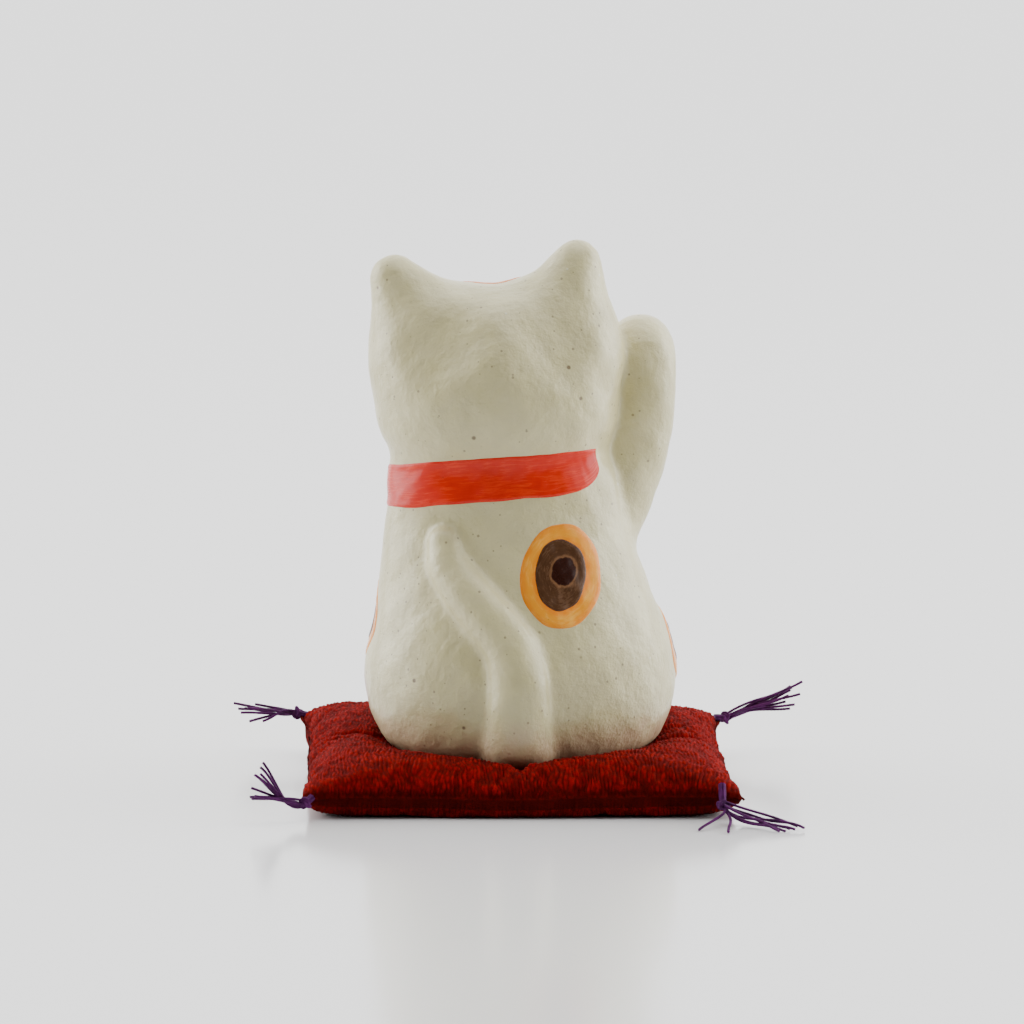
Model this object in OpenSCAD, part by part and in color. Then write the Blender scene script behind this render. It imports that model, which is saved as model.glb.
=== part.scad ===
// Beckoning cat figurine: a hollow ceramic cat on a stuffed crepe cushion with four corner tassels.
// Millimetres, +Z up. The cat faces -Y. The origin is under the middle of the cushion, on the
// surface that it rests on. Left and right are the cat's own: its left is +X.

/* [Cat] */
// Height of the ceramic cat, from its base to the tip of its higher ear
cat_h = 102; // [85:1:124]
// Thickness of the cast wall
wall = 3.5; // [2.5:0.1:4.5]
// Diameter of the drain hole in the base
drain_d = 12; // [8:0.5:16]
// How far the cat stands turned on its cushion, in degrees
cat_turn = 0; // [-8:0.5:8]

/* [Enamel] */
// Thickness of the fired enamel
enamel_t = 0.25; // [0.15:0.05:0.5]
// Width of the painted collar
collar_w = 7.6; // [5:0.2:9.2]
// Diameter of the bell at the throat
bell_d = 8; // [6:0.5:10]

/* [Cushion] */
// Width of the cushion, along X
cushion_w = 85; // [70:1:104]
// Depth of the cushion, along Y
cushion_d = 77; // [64:1:96]
// Thickness of the cushion where nothing presses on it
cushion_h = 10.5; // [8:0.5:14]
// Height of the cat's base above the surface, where its weight has pressed the cushion down
seat_h = 6.2; // [5:0.1:9]
// Thickness of the crepe
crepe_t = 0.6; // [0.4:0.1:0.8]
// Gap left all round between the cat and the cushion
seat_gap = 1; // [0.6:0.1:1.2]

/* [Tassels] */
// Diameter of one tassel thread
thread_d = 0.5; // [0.4:0.05:0.7]
// Length of the longest thread, from the knot to its end
thread_len = 17; // [11:0.5:20]
// Diameter of the overhand knot
knot_d = 2.6; // [2:0.1:3.4]

/* [Hidden] */

// The cat's form is drawn at this height and scaled to cat_h.
drawn_h = 102;
cat_k = cat_h / drawn_h;

// Rounded masses of the trunk: centre, radii, and the width of the blend into the rest.
TRUNK = [
    [[0.4, 0, 17], [29.6, 25, 30], 1],          // seat
    [[3.0, -1, 40], [24.3, 18.5, 24], 8],       // chest and back
    [[3.8, -1.5, 55], [22, 17, 13], 6]          // neck
];
HAUNCHES = [
    [[19, -8, 15], [11.5, 17, 15], 4],
    [[-18.5, -8, 15], [11.5, 17, 15], 4]
];
HEAD = [
    [[5, -1, 70], [23.7, 20, 19.5], 3],
    [[5, -1, 80.5], [22.8, 17, 11.6], 4],         // crown
    [[4.7, -7, 66], [21, 15, 12], 5],           // cheeks
    [[4.7, -20, 66.5], [7, 4, 4.8], 4]          // muzzle
];
// Ears: base centre and radius, tip centre and radius.
EARS = [
    [[16.6, -1, 80], 11.8, [25, 0.5, 93.2], 5.6],
    [[-6, -1, 81.5], 12, [-10.9, 0.5, 96.6], 5]
];
ear_blend = 5;
base_blend = 5;

// Limbs: centre line and radius, [x, y, z, r], from the body outwards.
RAISED_ARM = [
    [-17.2, -5, 44, 3], [-17.8, -5.8, 50, 6.6], [-20.8, -7, 60, 7.9], [-22.8, -8, 70, 7.3],
    [-23.2, -9, 77.2, 6.9], [-23.2, -13.5, 78.8, 6.4], [-22.8, -17.5, 76, 5.6]
];
RESTING_ARM = [[17.5, -11.5, 46, 3.2], [18.3, -15.5, 38, 6.4], [15.3, -20.5, 29, 6.2], [9.8, -24.3, 22, 5.6]];
HIND_PAW = [[13, -20.5, 5.4, 4.4], [13.2, -24, 5.5, 5.2], [13, -28, 5.3, 5]];
TAIL = [
    [0.6, 19, 4, 7.6], [0.7, 22.2, 9.4, 6.4], [0.6, 23.2, 14.8, 6.1], [0.8, 23.4, 19.7, 5.8],
    [2.1, 22.6, 24.3, 5.4], [5.1, 21.4, 28.7, 5], [8.6, 20.1, 32.6, 4.5], [12.2, 18.2, 36.9, 3.9],
    [14.5, 16.6, 40.6, 3.2], [14.9, 15.8, 44.5, 2.6]
];

// Facets of the faceted pieces.
body_sides = 60;
low_rings = 13;
mid_rings = 18;
top_rings = 26;
cavity_rings = 18;
cushion_sides = 64;
cushion_rings = 20;
under_rings = 5;
limb_sides = 16;
$fn = 64;

// Centres that the body's surface is measured from: one low in the trunk, one in the head.
low_centre = [0.4, 0, 17];
high_centre = [4.7, -1, 74];
spine_tilt = 8;
outside = 70;
close_enough = 0.02;

// ---- Smooth solids as distance fields: below 0 inside, 0 on the surface, above 0 outside ----

function smin(a, b, k) = let (h = max(k - abs(a - b), 0) / k) min(a, b) - h * h * k / 4;
function smax(a, b, k) = -smin(-a, -b, k);

// Distance to an ellipsoid of centre c and radii r.
function ellipsoid(p, c, r) =
    let (d = p - c,
         q = [d.x / r.x, d.y / r.y, d.z / r.z],
         k0 = norm(q),
         k1 = norm([q.x / r.x, q.y / r.y, q.z / r.z]))
    k0 * (k0 - 1) / max(k1, 1e-6);

// Distance to two balls of radii ra and rb at a and b with a straight taper between them.
function taper(p, a, ra, b, rb) =
    let (ba = b - a, l2 = ba * ba, rr = ra - rb, a2 = l2 - rr * rr,
         pa = p - a, y = pa * ba, z = y - l2, w = pa * l2 - ba * y,
         x2 = w * w, y2 = y * y * l2, z2 = z * z * l2, k = sign(rr) * rr * rr * x2)
    sign(z) * a2 * z2 > k ? sqrt(x2 + z2) / l2 - rb
    : sign(y) * a2 * y2 < k ? sqrt(x2 + y2) / l2 - ra
    : (sqrt(x2 * a2 / l2) + y * rr) / l2 - ra;

function at(q) = [q.x, q.y, q.z];
function limb(p, line) =
    min([for (i = [0 : len(line) - 2]) taper(p, at(line[i]), line[i][3], at(line[i + 1]), line[i + 1][3])]);

// The masses of a list blended on to distance d, one after another.
function blended(p, masses, d, i = 0) =
    i == len(masses) ? d
    : blended(p, masses, smin(d, ellipsoid(p, masses[i][0], masses[i][1]), masses[i][2]), i + 1);

function trunk(p) = blended(p, TRUNK, outside);
function head_mass(p) = blended(p, HEAD, outside);
function ear(p, e) = taper(p, e[0], e[1], e[2], e[3]);
function head(p) = smin(smin(head_mass(p), ear(p, EARS[0]), ear_blend), ear(p, EARS[1]), ear_blend);

// The outer surface of the shell as drawn, without its arms and paws, and the cavity's surface.
function drawn_skin(p) =
    let (torso = blended(p, HAUNCHES, trunk(p)),
         headed = smin(torso, head(p), 3),
         tailed = smin(headed, limb(p, TAIL), 2))
    smax(tailed, -p.z, base_blend);
function drawn_core(p) = smax(smin(trunk(p), head_mass(p), 3), -p.z, 2);

function skin(p) = cat_k * drawn_skin(p / cat_k);
function core(p) = cat_k * drawn_core(p / cat_k);

// Walks from p along the unit vector d until the skin is `level` away.
function to_skin(p, d, level = 0, n = 30) =
    let (gap = skin(p) - level)
    n == 0 || abs(gap) < close_enough ? p : to_skin(p + gap * d, d, level, n - 1);
function to_core(p, d, n = 30) =
    let (gap = core(p) + wall)
    n == 0 || abs(gap) < close_enough ? p : to_core(p + gap * d, d, n - 1);

// ---- Lofted solids ----

// A closed solid through rings of equal length, with a point at each end. Each ring runs
// anticlockwise seen from the end point.
module loft(start, rings, end) {
    n = len(rings[0]);
    m = len(rings);
    points = concat([start], [for (r = rings) each r], [end]);
    last = len(points) - 1;
    first_cap = [for (j = [0 : n - 1]) [0, 1 + j, 1 + (j + 1) % n]];
    sides = [for (i = [0 : m - 2], j = [0 : n - 1])
        let (a = 1 + i * n + j, b = 1 + i * n + (j + 1) % n)
        each [[a, a + n, b], [b, a + n, b + n]]];
    last_cap = [for (j = [0 : n - 1]) [last, 1 + (m - 1) * n + (j + 1) % n, 1 + (m - 1) * n + j]];
    polyhedron(points = points, faces = concat(first_cap, sides, last_cap), convexity = 6);
}

function unit(v) = v / norm(v);
function across(d) = unit(cross(d, abs(d.z) < 0.9 ? [0, 0, 1] : [1, 0, 0]));

// Points of a smooth curve through the given ones, n steps to each stretch.
function spline(q, n) =
    let (e = concat([2 * q[0] - q[1]], q, [2 * q[len(q) - 1] - q[len(q) - 2]]))
    concat([for (i = [1 : len(e) - 3], j = [0 : n - 1])
        let (t = j / n, a = e[i - 1], b = e[i], c = e[i + 1], d = e[i + 2])
        0.5 * (2 * b + (c - a) * t + (2 * a - 5 * b + 4 * c - d) * t * t
               + (3 * b - a - 3 * c + d) * t * t * t)], [q[len(q) - 1]]);

// Rings of a round rod along a line of [x, y, z, r] points, with rounded ends.
function tangent(line, i) = unit(at(line[min(i + 1, len(line) - 1)]) - at(line[max(i - 1, 0)]));
function round_ring(c, t, r, sides) =
    let (u = across(t), v = cross(t, u))
    [for (j = [0 : sides - 1]) c + r * (cos(360 * j / sides) * u + sin(360 * j / sides) * v)];
function rod_end(line, i, out, s) = at(line[i]) + out * line[i][3] * cos(s) * tangent(line, i);
function rod_rings(line, sides) =
    let (last = len(line) - 1, ends = [30, 60])
    concat(
        [for (s = ends)
            round_ring(rod_end(line, 0, -1, s), tangent(line, 0), line[0][3] * sin(s), sides)],
        [for (i = [0 : last]) round_ring(at(line[i]), tangent(line, i), line[i][3], sides)],
        [for (s = reversed(ends))
            round_ring(rod_end(line, last, 1, s), tangent(line, last), line[last][3] * sin(s), sides)]);
module rod(line, sides)
    loft(rod_end(line, 0, -1, 0), rod_rings(line, sides), rod_end(line, len(line) - 1, 1, 0));

function reversed(q) = [for (i = [len(q) - 1 : -1 : 0]) q[i]];

// ---- The ceramic cat ----

// Puts a cat piece on the cushion. Its own coordinates have the middle of its base at 0.
module on_seat() translate([0, 0, seat_h]) rotate([0, 0, cat_turn]) children();
function to_cat(p) =
    let (c = cos(-cat_turn), s = sin(-cat_turn))
    [c * p.x - s * p.y, s * p.x + c * p.y, p.z - seat_h];

function heading(turn, tilt) = [cos(turn) * cos(tilt), sin(turn) * cos(tilt), sin(tilt)];

// Where each ring of the body's surface is measured from, and how steeply: [centre, tilt].
function fan(floor_z, low, mid, top) =
    let (low_c = low_centre * cat_k, high_c = high_centre * cat_k,
         rim_tilt = -atan((low_c.z - floor_z) / (drain_d / 2)))
    concat(
        [for (i = [1 : low]) [low_c, rim_tilt + (-spine_tilt - rim_tilt) * i / low]],
        [for (i = [1 : mid])
            [low_c + (high_c - low_c) * i / mid, spine_tilt * (2 * i / mid - 1)]],
        [for (i = [1 : top - 1]) [high_c, spine_tilt + (90 - spine_tilt) * i / top]]);

function rim(z) = [for (j = [0 : body_sides - 1])
    [low_centre.x * cat_k + drain_d / 2 * cos(360 * j / body_sides),
     low_centre.y * cat_k + drain_d / 2 * sin(360 * j / body_sides), z]];

module cat_body() {
    function skin_ring(f) = [for (j = [0 : body_sides - 1])
        let (d = heading(360 * j / body_sides, f[1])) to_skin(f[0] + outside * cat_k * d, -d)];
    function core_ring(f) = [for (j = [0 : body_sides - 1])
        let (d = heading(360 * j / body_sides, f[1])) to_core(f[0] + outside * cat_k * d, -d)];
    outer = [for (f = fan(0, low_rings, mid_rings, top_rings)) skin_ring(f)];
    inner = [for (f = fan(wall, 4, cavity_rings - 8, 4)) core_ring(f)];
    top = high_centre * cat_k + [0, 0, outside * cat_k];
    color("ivory") on_seat()
        loft(to_core(top, [0, 0, -1]), concat(reversed(inner), [rim(wall), rim(0)], outer),
             to_skin(top, [0, 0, -1]));
}

// A limb cast by itself and luted on. It ends in the wall, not in the cavity: what would stand in
// the cavity is moved back to its surface, towards `from`.
function clear_of_cavity(p, from) =
    core(p) + wall > 0 ? p : to_core(p + outside * cat_k * from, -from);
module luted_limb(line, from) {
    curve = spline(line * cat_k, 3);
    color("ivory") on_seat()
        loft(clear_of_cavity(rod_end(curve, 0, -1, 0), from),
             [for (r = rod_rings(curve, limb_sides)) [for (p = r) clear_of_cavity(p, from)]],
             rod_end(curve, len(curve) - 1, 1, 0));
}
module raised_arm() luted_limb(RAISED_ARM, [-1, 0, 0]);
module resting_arm() luted_limb(RESTING_ARM, [0, -1, 0]);
module hind_paws()
    for (side = [-1, 1])
        luted_limb([for (q = HIND_PAW) [side * q.x, q.y, q.z, q[3]]], [0, -1, 0]);

// ---- Enamel: thin raised films that follow the skin ----

sunk = 0.12;            // how deep a film's underside lies in the glaze
film_sides = 28;

// A film whose outline is a closed curve. aim(r, t) gives the start point and the direction of the
// walk to the skin, for r from 0 in the middle to 1 at the edge, and t from 0 to 360 degrees.
function oval(c, half, facing, skew = 0) = [c, half, facing, skew];
function oval_point(o, r, t) =
    let (f = unit(o[2]), u = across(f), v = cross(u, f),
         a = o[1].x * r * cos(t), b = o[1].y * r * sin(t))
    (o[0] + a * cos(o[3]) * u + a * sin(o[3]) * v - b * sin(o[3]) * u + b * cos(o[3]) * v) * cat_k
    + outside * cat_k * f;

module oval_film(o, lift = 0, rings = 3, sides = film_sides) {
    f = -unit(o[2]);
    function ring(r, level) = [for (j = [0 : sides - 1])
        to_skin(oval_point(o, r, -360 * j / sides), f, level)];
    under = [for (i = [1 : rings]) ring(i / rings, lift - sunk)];
    over = [for (i = [rings : -1 : 1]) ring(i / rings, lift + enamel_t * (i == rings ? 0.5 : 1))];
    loft(to_skin(oval_point(o, 0, 0), f, lift - sunk), concat(under, over),
         to_skin(oval_point(o, 0, 0), f, lift + enamel_t));
}

// A painted stroke: a film along a line of [x, z] points seen from `facing`, w wide.
module stroke(line, w) {
    f = [0, 1, 0];
    n = len(line);
    function side(i) =
        let (a = line[max(i - 1, 0)], b = line[min(i + 1, n - 1)], t = (b - a) / norm(b - a)) [-t.y, t.x];
    function spot(i, s, level) =
        let (q = line[i] + side(i) * s * w / 2)
        to_skin([q.x, -outside, q.y] * cat_k, f, level);
    function section(i) = [spot(i, -1, -sunk), spot(i, 1, -sunk), spot(i, 1, enamel_t), spot(i, -1, enamel_t)];
    function middle(i) = let (q = line[i]) to_skin([q.x, -outside, q.y] * cat_k, f, 0);
    loft(middle(0), [for (i = [0 : n - 1]) section(i)], middle(n - 1));
}

collar_axis = [4.5, -1.5];
// The collar runs from the back of the raised arm round the left side to the front of that arm.
collar_from = 143;
collar_to = -146;
function collar_z(t) = 54.6 - 1.4 * cos(t) + 2.3 * sin(t);

module collar_enamel() {
    steps = 46;
    function spot(t, s, level) =
        let (d = [cos(t), sin(t), 0])
        to_skin([collar_axis.x * cat_k, collar_axis.y * cat_k, collar_z(t) * cat_k + s * collar_w / 2]
                + outside * cat_k * d, -d, level);
    function narrow(i) = i == 0 || i == steps ? 0.55 : i == 1 || i == steps - 1 ? 0.85 : 1;
    function section(i) =
        let (t = collar_from + (collar_to - collar_from) * i / steps, w = narrow(i))
        concat([for (s = [-1, 0, 1]) spot(t, s * w, -sunk)],
               [for (s = [1, 0.7, 0, -0.7, -1]) spot(t, s * w, enamel_t * (abs(s) == 1 ? 0.5 : 1))]);
    color("orangered") on_seat()
        loft(spot(collar_from, 0, 0), [for (i = [0 : steps]) section(i)], spot(collar_to, 0, 0));
}

back_spot = oval([-7.4, 0, 38.3], [8, 10.2], [0, 1, 0]);
back_eye = oval([-7.3, 0, 38.7], [5.1, 6.6], [0, 1, 0]);
left_spot = oval([0, -3, 27], [8.5, 8.2], [1, 0, 0]);
left_eye = oval([0, -3.5, 27.3], [5, 4.8], [1, 0, 0]);
right_spot = oval([0, -6, 22], [8.5, 8], [-1, 0, 0]);
right_eye = oval([0, -6.5, 22.3], [5, 4.6], [-1, 0, 0]);
forehead = oval([4.6, -10.5, 89], [9.5, 5.2], [0, -0.75, 0.66]);

module amber_film(o) color("orange") on_seat() oval_film(o);
module brown_film(o) color("saddlebrown") on_seat() oval_film(o, lift = enamel_t + sunk);

module back_spot_amber() amber_film(back_spot);
module back_spot_brown() brown_film(back_eye);
module left_spot_amber() amber_film(left_spot);
module left_spot_brown() brown_film(left_eye);
module right_spot_amber() amber_film(right_spot);
module right_spot_brown() brown_film(right_eye);
module crown_patch() amber_film(forehead);

module ear_enamel() color("orangered") on_seat() {
    oval_film(oval([21.6, 0, 89], [3.4, 4.6], [0, -1, 0.1]), rings = 2, sides = 18);
    oval_film(oval([-9.4, 0, 91], [3.4, 4.8], [0, -1, 0.1]), rings = 2, sides = 18);
}

face_x = 4.7;
eye_spread = 8.6;
module eye_enamel() color("black") on_seat()
    for (side = [-1, 1])
        oval_film(oval([face_x + side * eye_spread, 0, 74.5], [2.6, 3.4], [0, -1, 0]), rings = 2, sides = 18);

module nose_enamel() color("orangered") on_seat()
    oval_film(oval([face_x, 0, 69.2], [1.9, 1.2], [0, -1, 0]), rings = 2, sides = 16);

module mouth_line() color("saddlebrown") on_seat()
    for (side = [-1, 1])
        stroke([for (t = [0 : 30 : 150]) [face_x + side * (2.2 - 2.2 * cos(t)), 66.4 - 1.8 * sin(t)]], 0.6);

module whiskers() color("saddlebrown") on_seat()
    for (side = [-1, 1], k = [-1, 0, 1])
        stroke([for (s = [0 : 0.25 : 1])
            [face_x + side * (10 + 7.5 * s), 67 + 1.9 * k + 1.6 * k * s - 0.8 * s * s]], 0.5);

// Two lines round the end of each paw.
module toe_lines() {
    q = HIND_PAW[len(HIND_PAW) - 1] * cat_k;
    aside = 0.38 * q[3];
    color("saddlebrown") on_seat()
        for (side = [-1, 1], toe = [-1, 1])
            translate([side * q.x + toe * aside, q.y, q.z]) rotate([0, 90, 0]) rotate([0, 0, 215])
                rotate_extrude(angle = 75) translate([sqrt(q[3] * q[3] - aside * aside), 0]) circle(d = 0.5);
}

// The bell: a ball with a raised belt, sprigged on to the throat over the collar.
bell_turn = -90;
module bell() {
    d = [cos(bell_turn), sin(bell_turn), 0];
    throat = to_skin([collar_axis.x * cat_k, collar_axis.y * cat_k,
                      (collar_z(bell_turn) - 2.4) * cat_k] + outside * cat_k * d, -d);
    belt = 0.6;
    color("gold") on_seat() translate(throat + d * bell_d * 0.22) rotate_extrude() {
        intersection() {
            circle(d = bell_d);
            translate([0, -bell_d]) square([bell_d, 2 * bell_d]);
        }
        translate([0, -belt]) square([bell_d / 2 + belt, 2 * belt]);
    }
}

// ---- The cushion ----

side_pull = 0.025;      // how far the sides draw in between the corners, as a share
squareness = 16;        // power of the rounded square that is the outline
edge_roundness = 0.5;   // the edge's profile is a superellipse of power 2 / edge_roundness
seam_h = 0.48 * cushion_h;
// How far each corner's seam stands above the rest of the seam: back left, back right, front left, front right.
corner_lift = [-1.4, -1.8, 3, 2];
function corner_share(u, v, sx, sy) = pow(max(0, sx * u), 5) * pow(max(0, sy * v), 5);
function lift(u, v) =
    corner_lift[0] * corner_share(u, v, 1, 1) + corner_lift[1] * corner_share(u, v, -1, 1)
    + corner_lift[2] * corner_share(u, v, 1, -1) + corner_lift[3] * corner_share(u, v, -1, -1);

// Height at which the cat is seat_gap above (x, y), found by walking down. q is in cat coordinates.
// The paws keep paw_room more, because facets cut across their tighter dents.
paw_room = 0.35;
function cat_gap(q) = min(skin(q), cat_k * limb([abs(q.x), q.y, q.z] / cat_k, HIND_PAW) - paw_room);
function under_cat(p, n = 24) =
    let (gap = cat_gap(to_cat(p)) - seat_gap)
    n == 0 || gap > -close_enough ? p.z : under_cat(p + [0, 0, min(gap, -close_enough)], n - 1);

// A point of the cushion's surface drawn in by `inset`: j counts round the outline, t runs from 0
// in the middle to 90 degrees at the seam, and `up` is true above the seam.
function cushion_point(j, t, up, inset) =
    let (a = 360 * j / cushion_sides,
         c = cos(a), s = sin(a),
         reach = (1 - side_pull * pow(cos(2 * a), 2))
                 / pow(pow(abs(c), squareness) + pow(abs(s), squareness), 1 / squareness),
         u = reach * c * pow(sin(t), edge_roundness),
         v = reach * s * pow(sin(t), edge_roundness),
         rise = pow(cos(t), edge_roundness),
         x = u * (cushion_w / 2 - inset),
         y = v * (cushion_d / 2 - inset),
         free_top = seam_h + lift(u, v) + (cushion_h - seam_h - inset) * rise,
         free_under = max(inset, (seam_h + lift(u, v)) * (1 - 1.6 * rise) + inset * 1.6 * rise))
    [x, y, up ? under_cat([x, y, free_top + inset]) - (t == 90 ? 0 : inset) : free_under];

function top_rings_of(inset) = [for (i = [1 : cushion_rings])
    [for (j = [0 : cushion_sides - 1]) cushion_point(j, 90 * i / cushion_rings, true, inset)]];
function under_rings_of(inset) = [for (i = [1 : under_rings - 1])
    [for (j = [0 : cushion_sides - 1]) cushion_point(j, 90 * i / under_rings, false, inset)]];
module cushion_top_panel() color("firebrick")
    loft(cushion_point(0, 0, true, crepe_t), concat(top_rings_of(crepe_t), reversed(top_rings_of(0))),
         cushion_point(0, 0, true, 0));

module cushion_bottom_panel() {
    outer_seam = top_rings_of(0)[cushion_rings - 1];
    inner_seam = top_rings_of(crepe_t)[cushion_rings - 1];
    color("firebrick")
        loft(cushion_point(0, 0, false, 0),
             concat(under_rings_of(0), [outer_seam, inner_seam], reversed(under_rings_of(crepe_t))),
             cushion_point(0, 0, false, crepe_t));
}

module cushion_wadding() color("white")
    loft(cushion_point(0, 0, false, crepe_t),
         concat(under_rings_of(crepe_t), reversed(top_rings_of(crepe_t))),
         cushion_point(0, 0, true, crepe_t));

// The thread of the seam, inside the edge where the two panels' turnings meet.
module seam_thread() {
    inset = crepe_t + thread_d;
    line = [for (j = [1 : cushion_sides - 1])
        let (p = cushion_point(j, 90, true, inset)) [p.x, p.y, p.z, thread_d / 3]];
    color("firebrick") rod(line, 6);
}

// ---- The tassels ----

// For each tassel: its corner, the way it points, how far it rises from level, how far its fan
// spreads across and upright, how its threads bend down (or up, below 0), and its share of thread_len.
corner_reach = pow(2, -1 / squareness);
tie_gap = 0.6;             // from the corner to the loop that the tassel hangs on
loop_d = 3 * thread_d;
loop_h = 3.4 * thread_d;

TASSELS = [
    ["back_left", [1, 1], 14, 26, 36, 14, -14, 0.74],
    ["back_right", [-1, 1], 142, -7, 40, 5, -8, 1],
    ["front_left", [1, -1], -8, 2, 26, 14, -12, 0.76],
    ["front_right", [-1, -1], 186, 16, 22, 18, 8, 1]
];

// A fan is three rows of three threads. Each leaves the knot by its own place in that grid.
thread_pitch = 1.24 * thread_d;
function fan_place(i) = [i % 3 - 1, floor(i / 3) - 1];
function fan_share(i) = 0.9 + 0.1 * cos(150 * i);

function corner_point(k) =
    let (c = TASSELS[k][1], u = c.x * corner_reach, v = c.y * corner_reach)
    [u * cushion_w / 2, v * cushion_d / 2, seam_h + lift(u, v)];

// Puts a tassel's upright loop at its corner, and a piece that points along +X on that loop.
module at_loop(k) translate(corner_point(k)) rotate([0, 0, TASSELS[k][2]])
    translate([tie_gap + loop_d / 2, 0, 0]) children();
module at_corner(k) at_loop(k) rotate([0, -TASSELS[k][3], 0]) children();

// The knot: the loop round the corner stitch, a neck of gathered thread, and the overhand knot.
neck_len = knot_d / 2 + loop_d / 2 + 0.2;
module knot(k) color("indigo") {
    at_loop(k) translate([0, 0, -loop_h / 2]) cylinder(d = loop_d, h = loop_h);
    at_corner(k) rotate([0, 90, 0]) cylinder(d = 0.8 * loop_d, h = neck_len);
    at_corner(k) translate([neck_len, 0, 0]) sphere(d = knot_d);
}

// One thread: an arc that leaves the knot at its turn and tilt and bends down, or up if bend is negative.
module thread(turn, tilt, bend, length) {
    r = length / (abs(bend) * PI / 180);
    rotate([0, 0, turn]) rotate([0, -tilt, 0])
        rotate([90, 0, 0]) mirror([0, bend < 0 ? 1 : 0, 0]) translate([0, -r, 0])
            rotate([0, 0, 90 - abs(bend)]) rotate_extrude(angle = abs(bend)) translate([r, 0]) circle(d = thread_d);
}

module threads(k) color("indigo") at_corner(k) translate([neck_len + 0.3 * knot_d, 0, 0])
    for (i = [0 : 8]) {
        q = fan_place(i);
        translate([0, q.x * thread_pitch, q.y * thread_pitch])
            thread(q.x * TASSELS[k][4] / 2, q.y * TASSELS[k][5] / 2, TASSELS[k][6],
                   fan_share(i) * TASSELS[k][7] * thread_len);
    }

cat_body();
raised_arm();
resting_arm();
hind_paws();
bell();
collar_enamel();
ear_enamel();
crown_patch();
back_spot_amber();
back_spot_brown();
left_spot_amber();
left_spot_brown();
right_spot_amber();
right_spot_brown();
eye_enamel();
nose_enamel();
mouth_line();
whiskers();
toe_lines();
cushion_top_panel();
cushion_bottom_panel();
cushion_wadding();
seam_thread();
knot(0);  // tassel_back_left_knot
threads(0);  // tassel_back_left_threads
knot(1);  // tassel_back_right_knot
threads(1);  // tassel_back_right_threads
knot(2);  // tassel_front_left_knot
threads(2);  // tassel_front_left_threads
knot(3);  // tassel_front_right_knot
threads(3);  // tassel_front_right_threads
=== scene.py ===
# %% [markdown]
# # A beckoning cat on its cushion
#
# The looks of a small glazed ceramic cat, built round its CAD part. The cat is one smooth body made
# from blended rounded masses. Its collar and spots are thin films of enamel that lie on that body. It
# stands on a stuffed crepe cushion with a tassel at each corner.
#
# Everything is worked out in millimetres and turned into metres when a mesh is made.

# %% Load the frame
import math
import time

import bpy
import numpy as np
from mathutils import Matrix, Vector


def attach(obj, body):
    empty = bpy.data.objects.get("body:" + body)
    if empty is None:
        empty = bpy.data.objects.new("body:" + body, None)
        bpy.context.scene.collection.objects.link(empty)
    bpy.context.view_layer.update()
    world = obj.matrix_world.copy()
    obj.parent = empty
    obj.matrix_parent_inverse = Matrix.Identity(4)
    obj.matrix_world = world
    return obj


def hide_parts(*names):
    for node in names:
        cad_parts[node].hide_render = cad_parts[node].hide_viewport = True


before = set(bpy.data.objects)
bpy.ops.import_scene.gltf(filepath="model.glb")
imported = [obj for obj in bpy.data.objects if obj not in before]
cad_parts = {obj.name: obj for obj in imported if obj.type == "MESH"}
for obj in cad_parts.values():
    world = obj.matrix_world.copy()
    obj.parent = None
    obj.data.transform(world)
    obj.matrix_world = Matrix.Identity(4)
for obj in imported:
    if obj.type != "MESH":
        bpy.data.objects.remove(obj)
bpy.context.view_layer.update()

MM = 0.001
rng = np.random.default_rng(11)

# %% [markdown]
# ## The cat's form as a distance field
#
# `form(p)` tells how far each point is from the cat's surface: below 0 inside, above 0 outside. It is
# built from ellipsoids and tapered rods. A soft minimum of width `k` joins two masses with a fillet,
# as wet clay is smoothed at a join, and a soft maximum cuts one mass out of another.
#
# The cat's own coordinates have the middle of its base at 0. It faces -Y and its raised paw is at -X.

# %% Blended masses
def soft_min(a, b, k):
    h = np.maximum(k - np.abs(a - b), 0) / k
    return np.minimum(a, b) - h * h * k / 4


def soft_max(a, b, k):
    return -soft_min(-a, -b, k)


def ellipsoid(p, centre, radii):
    q = (p - np.array(centre, float)) / np.array(radii, float)
    k0 = np.sqrt((q * q).sum(-1))
    k1 = np.sqrt(((q / np.array(radii, float)) ** 2).sum(-1))
    return k0 * (k0 - 1) / np.maximum(k1, 1e-9)


def taper(p, a, ra, b, rb):
    """Distance to two balls with a straight taper between them."""
    a, b = np.array(a, float), np.array(b, float)
    ba = b - a
    l2 = ba @ ba
    rr = ra - rb
    a2 = l2 - rr * rr
    pa = p - a
    y = pa @ ba
    z = y - l2
    w = pa * l2 - y[..., None] * ba
    x2 = (w * w).sum(-1)
    y2, z2 = y * y * l2, z * z * l2
    k = np.sign(rr) * rr * rr * x2
    side = (np.sqrt(x2 * a2 / l2) + y * rr) / l2 - ra
    foot = np.sqrt(x2 + y2) / l2 - ra
    head = np.sqrt(x2 + z2) / l2 - rb
    return np.where(np.sign(z) * a2 * z2 > k, head, np.where(np.sign(y) * a2 * y2 < k, foot, side))


def curve(points, steps):
    """A smooth line through the given points, with `steps` points to each stretch."""
    q = np.array(points, float)
    q = np.vstack([2 * q[0] - q[1], q, 2 * q[-1] - q[-2]])
    t = (np.arange(steps) / steps)[:, None]
    parts = []
    for a, b, c, d in zip(q[:-3], q[1:-2], q[2:-1], q[3:]):
        parts.append(0.5 * (2 * b + (c - a) * t + (2 * a - 5 * b + 4 * c - d) * t**2
                            + (3 * b - a - 3 * c + d) * t**3))
    return np.vstack(parts + [q[-2:-1]])


def limb(p, line, steps=5):
    """Distance to a rod along a smooth line of (x, y, z, radius) points."""
    c = curve(line, steps)
    d = None
    for a, b in zip(c[:-1], c[1:]):
        e = taper(p, a[:3], a[3], b[:3], b[3])
        d = e if d is None else np.minimum(d, e)
    return d


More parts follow.
